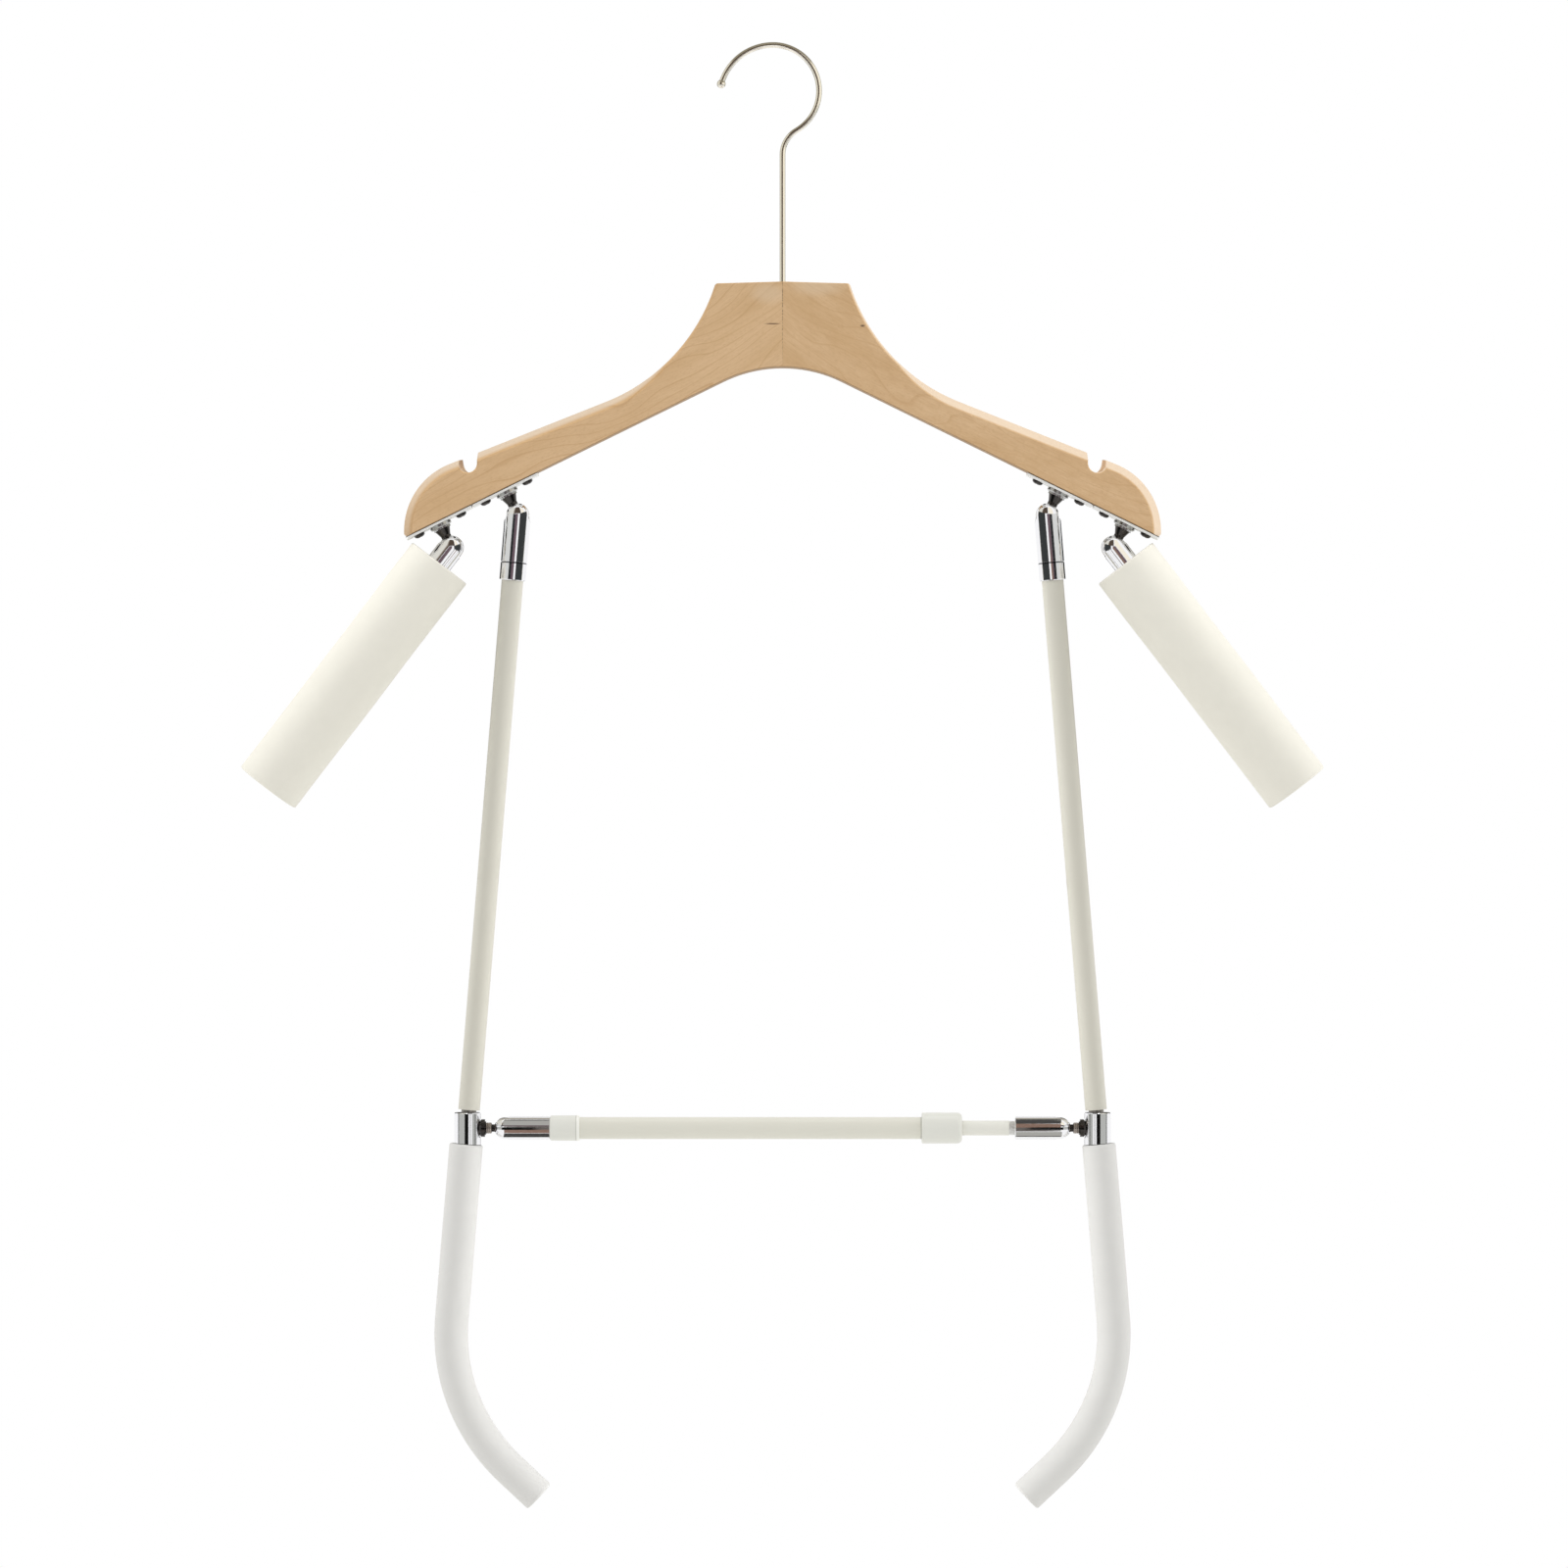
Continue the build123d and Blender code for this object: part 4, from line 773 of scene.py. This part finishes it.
class HANGER_OT_plate_screws(bpy.types.Operator):
    """Makes the eight pan-head screws that hold the plates"""

    bl_idname = "hanger.plate_screws"
    bl_label = "Plate screws"

    def execute(self, context):
        threads = context.scene.hanger_threads
        surfaces = []
        for side in SIDES:
            axis = stud_axis(side)
            slope = np.cross(axis, (0.0, 1.0, 0.0))
            for plate in PLATES:
                low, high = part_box(f"{side}_{plate}")
                face = (np.array(low) + np.array(high)) / 2 + axis * threads.plate / 2
                for end in (-1, 1):
                    seat = face + slope * end * threads.pitch / 2
                    surfaces.append(self.screw(threads, seat, axis))
        # Steel screws, pressed and blackened: a dark shine in fine patches.
        material = metal_finished(
            "steel_screw_blackened", context.scene.hanger_metal.black, (1, 1, 1), (0.2, 0.35))
        screws = new_piece("pan_head_screws", surfaces, material)
        dress(material, ["plate_screws"])
        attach(screws, "hanger")
        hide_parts("plate_screws")
        return {"FINISHED"}

    def screw(self, threads, seat, axis):
        """A turned screw from its point to its head, in places along the axis from the seat.

        The shank's radius is its root plus the thread's ridge, times a share that grows from the blunt tip
        over the point. The head has a chamfer, a straight side and an elliptic crown. A cross recess lowers
        the crown where a point is within half a slot of the middle line of either arm and within the arm's
        reach, less so further out, by the recess's rise.
        """
        blunt, hub, chamfer, rise = 0.04, 0.03, 0.97, 0.3
        turn = around(threads.sides)[None, :]
        shank = np.linspace(-threads.shank_length, 0, threads.shank_rings)[:, None]
        root = threads.shank / 2 - threads.ridge
        grown = np.clip((shank + threads.shank_length) / threads.point, blunt, 1)
        shank_radii = grown * (root + threads.ridge * thread_ridge(shank, turn, threads.lead))
        radius = threads.head / 2
        share = np.linspace(1, hub, threads.crown_rings)[:, None]
        crown = threads.head_side + (threads.head_height - threads.head_side) * np.sqrt(1 - share ** 2)
        first_arm, second_arm = radius * share * np.cos(turn), radius * share * np.sin(turn)
        recess = np.maximum(
            self.arm(threads, first_arm, second_arm), self.arm(threads, second_arm, first_arm))
        recess = recess * threads.slot_depth * (1 - rise * radius * share / threads.slot_reach)
        side = np.array([0.0, 0.0, threads.head_side / 2])[:, None]
        side_radii = np.array([radius * chamfer, radius, radius])[:, None]
        wide = np.ones_like(turn)
        along = np.concatenate([shank * wide, side * wide, crown - recess])
        radii = np.concatenate([shank_radii, side_radii * wide, radius * share * wide])
        point = seat - axis * threads.shank_length
        pit = seat + axis * (threads.head_height - threads.slot_depth)
        return closed_surface(turned(seat, axis, along, radii), point, pit)

    def arm(self, threads, lengthwise, sideways):
        """One in a recess's arm and nothing outside it, with a wall as wide as a tenth of the slot."""
        wall = threads.slot / 10
        inside = np.clip((threads.slot / 2 - np.abs(sideways)) / wall, 0, 1)
        return inside * np.clip((threads.slot_reach - np.abs(lengthwise)) / wall, 0, 1)


class HANGER_OT_stud_threads(bpy.types.Operator):
    """Makes the threads that show between the collars and the waist bar's sockets"""

    bl_idname = "hanger.stud_threads"
    bl_label = "Waist bar stud threads"

    def execute(self, context):
        threads = context.scene.hanger_threads
        # Steel, thread cut and browned: a dull shine in streaks along the turn.
        material = metal_finished(
            "steel_browned_cut", context.scene.hanger_metal.bronze, (0.4, 2, 2), (0.15, 0.25))
        for side, sign in SIDES.items():
            collar = np.array(JOINTS[f"{side}_hip_turn"]["pos_m"])
            surface = self.thread(threads, collar, np.array((-sign, 0.0, 0.0)))
            thread = new_piece(f"{side}_bar_stud_thread", [surface], material)
            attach(thread, f"{side}_side")
        return {"FINISHED"}

    def thread(self, threads, collar, axis):
        """A turned sleeve: its radius is a root plus a ridge that climbs one lead a turn, less at its ends."""
        turn = around(threads.sides)[None, :]
        along = np.linspace(threads.stud_from, threads.stud_to, threads.stud_rings)[:, None]
        ends = np.minimum(along - threads.stud_from, threads.stud_to - along) / (threads.stud_lead / 2)
        ridge = threads.stud_ridge * np.clip(ends, 0, 1) * thread_ridge(along, turn, threads.stud_lead)
        rings = turned(collar, axis, along + 0 * turn, threads.stud_root + ridge)
        return closed_surface(rings, collar + axis * threads.stud_from, collar + axis * threads.stud_to)


class HANGER_OT_arm_rolls(bpy.types.Operator):
    """Makes the two foam arms"""

    bl_idname = "hanger.arm_rolls"
    bl_label = "Foam arms"

    def execute(self, context):
        foam = context.scene.hanger_foam
        material = foam_closed_cell("foam_closed_cell_cream", foam.arm)
        for side in SIDES:
            node = f"{side}_arm_foam"
            ball = np.array(JOINTS[f"{side}_arm_tilt"]["pos_m"])
            *ends, radius = round_bar(node)
            top, tip = sorted(ends, key=lambda end: np.linalg.norm(end - ball))
            socket_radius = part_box(f"{side}_arm_socket")[1].y
            surface = self.roll(foam, top, tip, radius, socket_radius)
            roll = new_piece(f"{side}_arm_roll", [surface], material)
            dress(material, [node])
            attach(roll, f"{side}_arm")
            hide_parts(node)
        return {"FINISHED"}

    def roll(self, foam, top, tip, radius, bore):
        """A turned roll: in at the bore, over its lip, across the top, round both rims and across the tip.

        Each part of the profile is a run of places along the axis with their radii.
        """
        steps, top_rings, tip_rings = 9, 14, 16
        size = np.linalg.norm(tip - top)
        axis = (tip - top) / size
        rim, lip, depth = foam.arm_round, foam.lip, foam.bore_depth
        bend = np.linspace(0, pi / 2, steps)
        place, reach = profile(
            (depth, np.array([bore / 2, bore])),
            (lip * (1 - np.sin(bend)), bore + lip * (1 - np.cos(bend))),
            (0.0, np.linspace(bore + lip, radius - rim, top_rings)[1:-1]),
            *rounded_side(0.0, size, radius, rim, foam.arm_rings, steps),
            (size, np.linspace(radius - rim, foam.hub, tip_rings)[1:]))
        turn = around(foam.sides)
        radii = wavy(place, reach, radius, turn, foam.arm_wave, ((3, 55), (2, -90)))
        rings = turned(top, axis, place[:, None] + 0 * turn, radii)
        return closed_surface(rings, top + axis * depth, tip)


class HANGER_OT_hip_sleeves(bpy.types.Operator):
    """Makes the two bent foam hips"""

    bl_idname = "hanger.hip_sleeves"
    bl_label = "Foam hips"

    def execute(self, context):
        foam = context.scene.hanger_foam
        material = foam_closed_cell("foam_closed_cell_white", foam.hip)
        for side in SIDES:
            node = f"{side}_hip_foam"
            sleeve = new_piece(f"{side}_hip_sleeve", [self.sleeve(foam, side)], material)
            dress(material, [node])
            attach(sleeve, f"{side}_hip")
            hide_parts(node)
        return {"FINISHED"}

    def sleeve(self, foam, side):
        """A round profile carried down a straight run, round an arc and down a short straight run.

        Up to the bend the middle line follows the side rod, then it turns inwards at the bend's radius. The
        radius of the profile follows a quarter circle at each rim.
        """
        steps, face_rings = 8, 8
        collar = np.array(JOINTS[f"{side}_hip_turn"]["pos_m"])
        rod = downward(f"{side}_hip_turn")
        front = np.array((0.0, SIDES[side], 0.0))
        inwards = np.cross(front, rod)
        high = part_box(f"{side}_hip_foam")[1]
        radius, rim = high.y, foam.hip_round
        top = (collar[2] - high.z) / -rod[2] + radius * abs(rod[0])
        bend_length = foam.bend_radius * foam.bend
        stop = foam.bend_start + bend_length + foam.bend_end
        face = np.linspace(foam.hub, radius - rim, face_rings)
        place, reach = profile(
            (top, face[:-1]),
            *rounded_side(top, stop, radius, rim, foam.hip_rings, steps),
            (stop, face[-2::-1]))
        bent = np.clip((place - foam.bend_start) / foam.bend_radius, 0, foam.bend)
        beyond = np.maximum(place - foam.bend_start - bend_length, 0)
        straight = np.minimum(place, foam.bend_start) + foam.bend_radius * np.sin(bent)
        straight = straight + beyond * np.cos(bent)
        aside = foam.bend_radius * (1 - np.cos(bent)) + beyond * np.sin(bent)
        middle = collar + np.outer(straight, rod) + np.outer(aside, inwards)
        across = np.outer(np.cos(bent), inwards) - np.outer(np.sin(bent), rod)
        turn = around(foam.sides)
        radii = wavy(place, reach, radius, turn, foam.hip_wave, ((2, 60), (3, -80)))
        spokes = np.cos(turn)[None, :, None] * across[:, None, :] + np.sin(turn)[None, :, None] * front
        rings = middle[:, None, :] + radii[:, :, None] * spokes
        return closed_surface(rings, middle[0], middle[-1])


class HANGER_OT_stage(bpy.types.Operator):
    """Sets the camera, the pale floor, the soft light and the white surround"""

    bl_idname = "hanger.stage"
    bl_label = "White studio"

    def execute(self, context):
        stage = context.scene.hanger_stage
        context.scene.view_settings.view_transform = "Standard"
        self.camera(context, stage)
        self.surround(context, stage)
        self.floor(stage)
        middle = (CAD_BOX[0] + CAD_BOX[1]) / 2
        strip = self.lamp(context, "top_strip_box", (0, 0.05, 0.95), middle, (2.2, 0.3), stage.top_power)
        strip.visible_glossy = True
        for name, (place, aim, size, watts, parts) in SIDE_LAMPS.items():
            lit = self.lit_alone(f"lit_by_{name}", both(*parts)) if parts else None
            for side, sign in SIDES.items():
                mirror = np.array((sign, 1, 1))
                target = middle if aim is None else aim * mirror
                lamp = self.lamp(
                    context, f"{side}_{name}", place * mirror, target, size, getattr(stage, watts))
                lamp.light_linking.receiver_collection = lit
        for side, sign in SIDES.items():
            for name, cloth in BAR_FLAGS.items():
                self.flag(stage, f"{side}_{name}_flag", cloth, sign, side == "right")
            for name, cloth in SIDE_FLAGS.items():
                self.flag(stage, f"{side}_{name}_flag", cloth, sign)
        for name, cloth in MIDDLE_FLAGS.items():
            self.flag(stage, f"{name}_flag", cloth)
        return {"FINISHED"}

    def lit_alone(self, name, pieces):
        """A collection of the only pieces that a lamp lights."""
        lit = bpy.data.collections.new(name)
        for piece in pieces:
            lit.objects.link(bpy.data.objects[piece])
        return lit

    def camera(self, context, stage):
        """A camera square to the wood, whose lens gives the view width at its distance."""
        data = bpy.data.cameras.new("camera")
        data.lens = data.sensor_width * stage.distance / stage.view_width
        camera = bpy.data.objects.new("camera", data)
        camera.location = (stage.across, -stage.distance, stage.height)
        camera.rotation_euler = (pi / 2, 0, 0)
        context.scene.collection.objects.link(camera)
        context.scene.camera = camera

    def surround(self, context, stage):
        """A white surround that cameras, metal and glass see, and an even tent of light."""
        world = bpy.data.worlds.new("white_surround")
        world.use_nodes = True
        tree = world.node_tree
        tree.nodes.clear()
        light = add_node(tree, "Background", {"Color": linear("#FFFFFF"), "Strength": stage.ambient})
        white = add_node(tree, "Background", {"Color": linear("#FFFFFF"), "Strength": 1.0})
        mix = add_node(tree, "MixShader", {0: self.seen_rays(tree), 1: light, 2: white})
        add_node(tree, "OutputWorld", {"Surface": mix})
        context.scene.world = world

    def seen_rays(self, tree):
        """One for rays of the camera, of mirrors and of glass, and nothing for rays that carry light."""
        path = add_node(tree, "LightPath").node.outputs
        mirror = add_node(tree, "Math", {
            0: path["Is Glossy Ray"], 1: path["Is Transmission Ray"]}, operation="MAXIMUM")
        return add_node(tree, "Math", {0: path["Is Camera Ray"], 1: mirror}, operation="MAXIMUM")

    def floor(self, stage):
        """A pale round floor that keeps the shadow near its middle and turns to plain white further out."""
        material, tree = new_material("floor_paper_pale")
        place = add_node(tree, "TexCoord").node.outputs["Object"]
        reach = add_node(tree, "VectorMath", {0: place}, operation="LENGTH")
        fade = add_node(tree, "MapRange", {
            "Value": reach, "From Min": stage.shadow_from, "From Max": stage.shadow_to, "To Min": 0.2,
        }, **SMOOTH)
        shown = add_node(tree, "Math", {0: fade, 1: self.seen_rays(tree)}, operation="MULTIPLY")
        paper = add_node(tree, "BsdfDiffuse", {"Color": linear("#F6F6F4")})
        white = add_node(tree, "Emission", {"Color": linear("#FFFFFF"), "Strength": 1.0})
        close_material(material, tree, add_node(tree, "MixShader", {0: shown, 1: paper, 2: white}))
        turn = around(stage.floor_sides)
        rim = stage.floor_radius * np.stack([np.cos(turn), np.sin(turn), 0 * turn], axis=-1)
        floor = new_object("floor", rim, [list(range(stage.floor_sides))], material)
        floor.location = (0.0, 0.0, CAD_BOX[0].z - stage.floor_drop)

    def lamp(self, context, name, place, aim, size, watts):
        """A soft box that faces its aim and that the camera and mirrors don't see."""
        data = bpy.data.lights.new(name, "AREA")
        data.shape = "RECTANGLE"
        data.size, data.size_y = size
        data.energy = watts
        lamp = bpy.data.objects.new(name, data)
        lamp.location = place
        lamp.rotation_euler = (Vector(aim) - Vector(place)).to_track_quat("-Z", "Y").to_euler()
        lamp.visible_camera = False
        lamp.visible_glossy = False
        context.scene.collection.objects.link(lamp)
        return lamp

    def flag(self, stage, name, cloth, sign=1, over=False):
        """A studio cloth of one flat tone that only mirrors see, mirrored in x where the sign is negative.

        Over turns it over in height about the line from the camera to the waist bar.
        """
        code, corner, *edges = cloth
        material, tree = new_material(f"{name}_cloth")
        close_material(material, tree, add_node(tree, "Emission", {"Color": linear(code)}))
        corners = np.array([(0, 0), (1, 0), (1, 1), (0, 1)]) @ np.array(edges) + np.array(corner)
        if over:
            bar = JOINTS["bar_level"]["pos_m"][2]
            sight = bar + corners[:, 1] * (stage.height - bar) / stage.distance
            corners[:, 2] = 2 * sight - corners[:, 2]
        flag = new_object(name, corners * (sign, 1, 1), [[0, 1, 2, 3]], material)
        for rays in ("camera", "diffuse", "shadow", "transmission", "volume_scatter"):
            setattr(flag, f"visible_{rays}", False)


class HANGER_PT_panel(bpy.types.Panel):
    """Lists the hanger's pieces and its studio"""

    bl_idname = "HANGER_PT_panel"
    bl_label = "Torso hanger"
    bl_space_type = "VIEW_3D"
    bl_region_type = "UI"
    bl_category = "Hanger"

    def draw(self, context):
        for operator in OPERATORS:
            self.layout.operator(operator.bl_idname)


GROUPS = {
    "hanger_stage": HANGER_PG_stage,
    "hanger_wood": HANGER_PG_wood,
    "hanger_metal": HANGER_PG_metal,
    "hanger_coats": HANGER_PG_coats,
    "hanger_foam": HANGER_PG_foam,
    "hanger_threads": HANGER_PG_threads,
}
OPERATORS = (HANGER_OT_shoulders, HANGER_OT_metal, HANGER_OT_coats, HANGER_OT_plate_screws,
             HANGER_OT_stud_threads, HANGER_OT_arm_rolls, HANGER_OT_hip_sleeves, HANGER_OT_stage)


def register():
    for group in (*GROUPS.values(), *OPERATORS, HANGER_PT_panel):
        bpy.utils.register_class(group)
    for name, group in GROUPS.items():
        setattr(bpy.types.Scene, name, PointerProperty(type=group))


def unregister():
    for name in GROUPS:
        delattr(bpy.types.Scene, name)
    for group in (HANGER_PT_panel, *reversed(OPERATORS), *reversed(GROUPS.values())):
        bpy.utils.unregister_class(group)


def main():
    """Builds the looks in order."""
    register()
    bpy.ops.hanger.shoulders()
    bpy.ops.hanger.metal()
    bpy.ops.hanger.coats()
    bpy.ops.hanger.plate_screws()
    bpy.ops.hanger.stud_threads()
    bpy.ops.hanger.arm_rolls()
    bpy.ops.hanger.hip_sleeves()
    bpy.ops.hanger.stage()


if __name__ == "__main__":
    main()
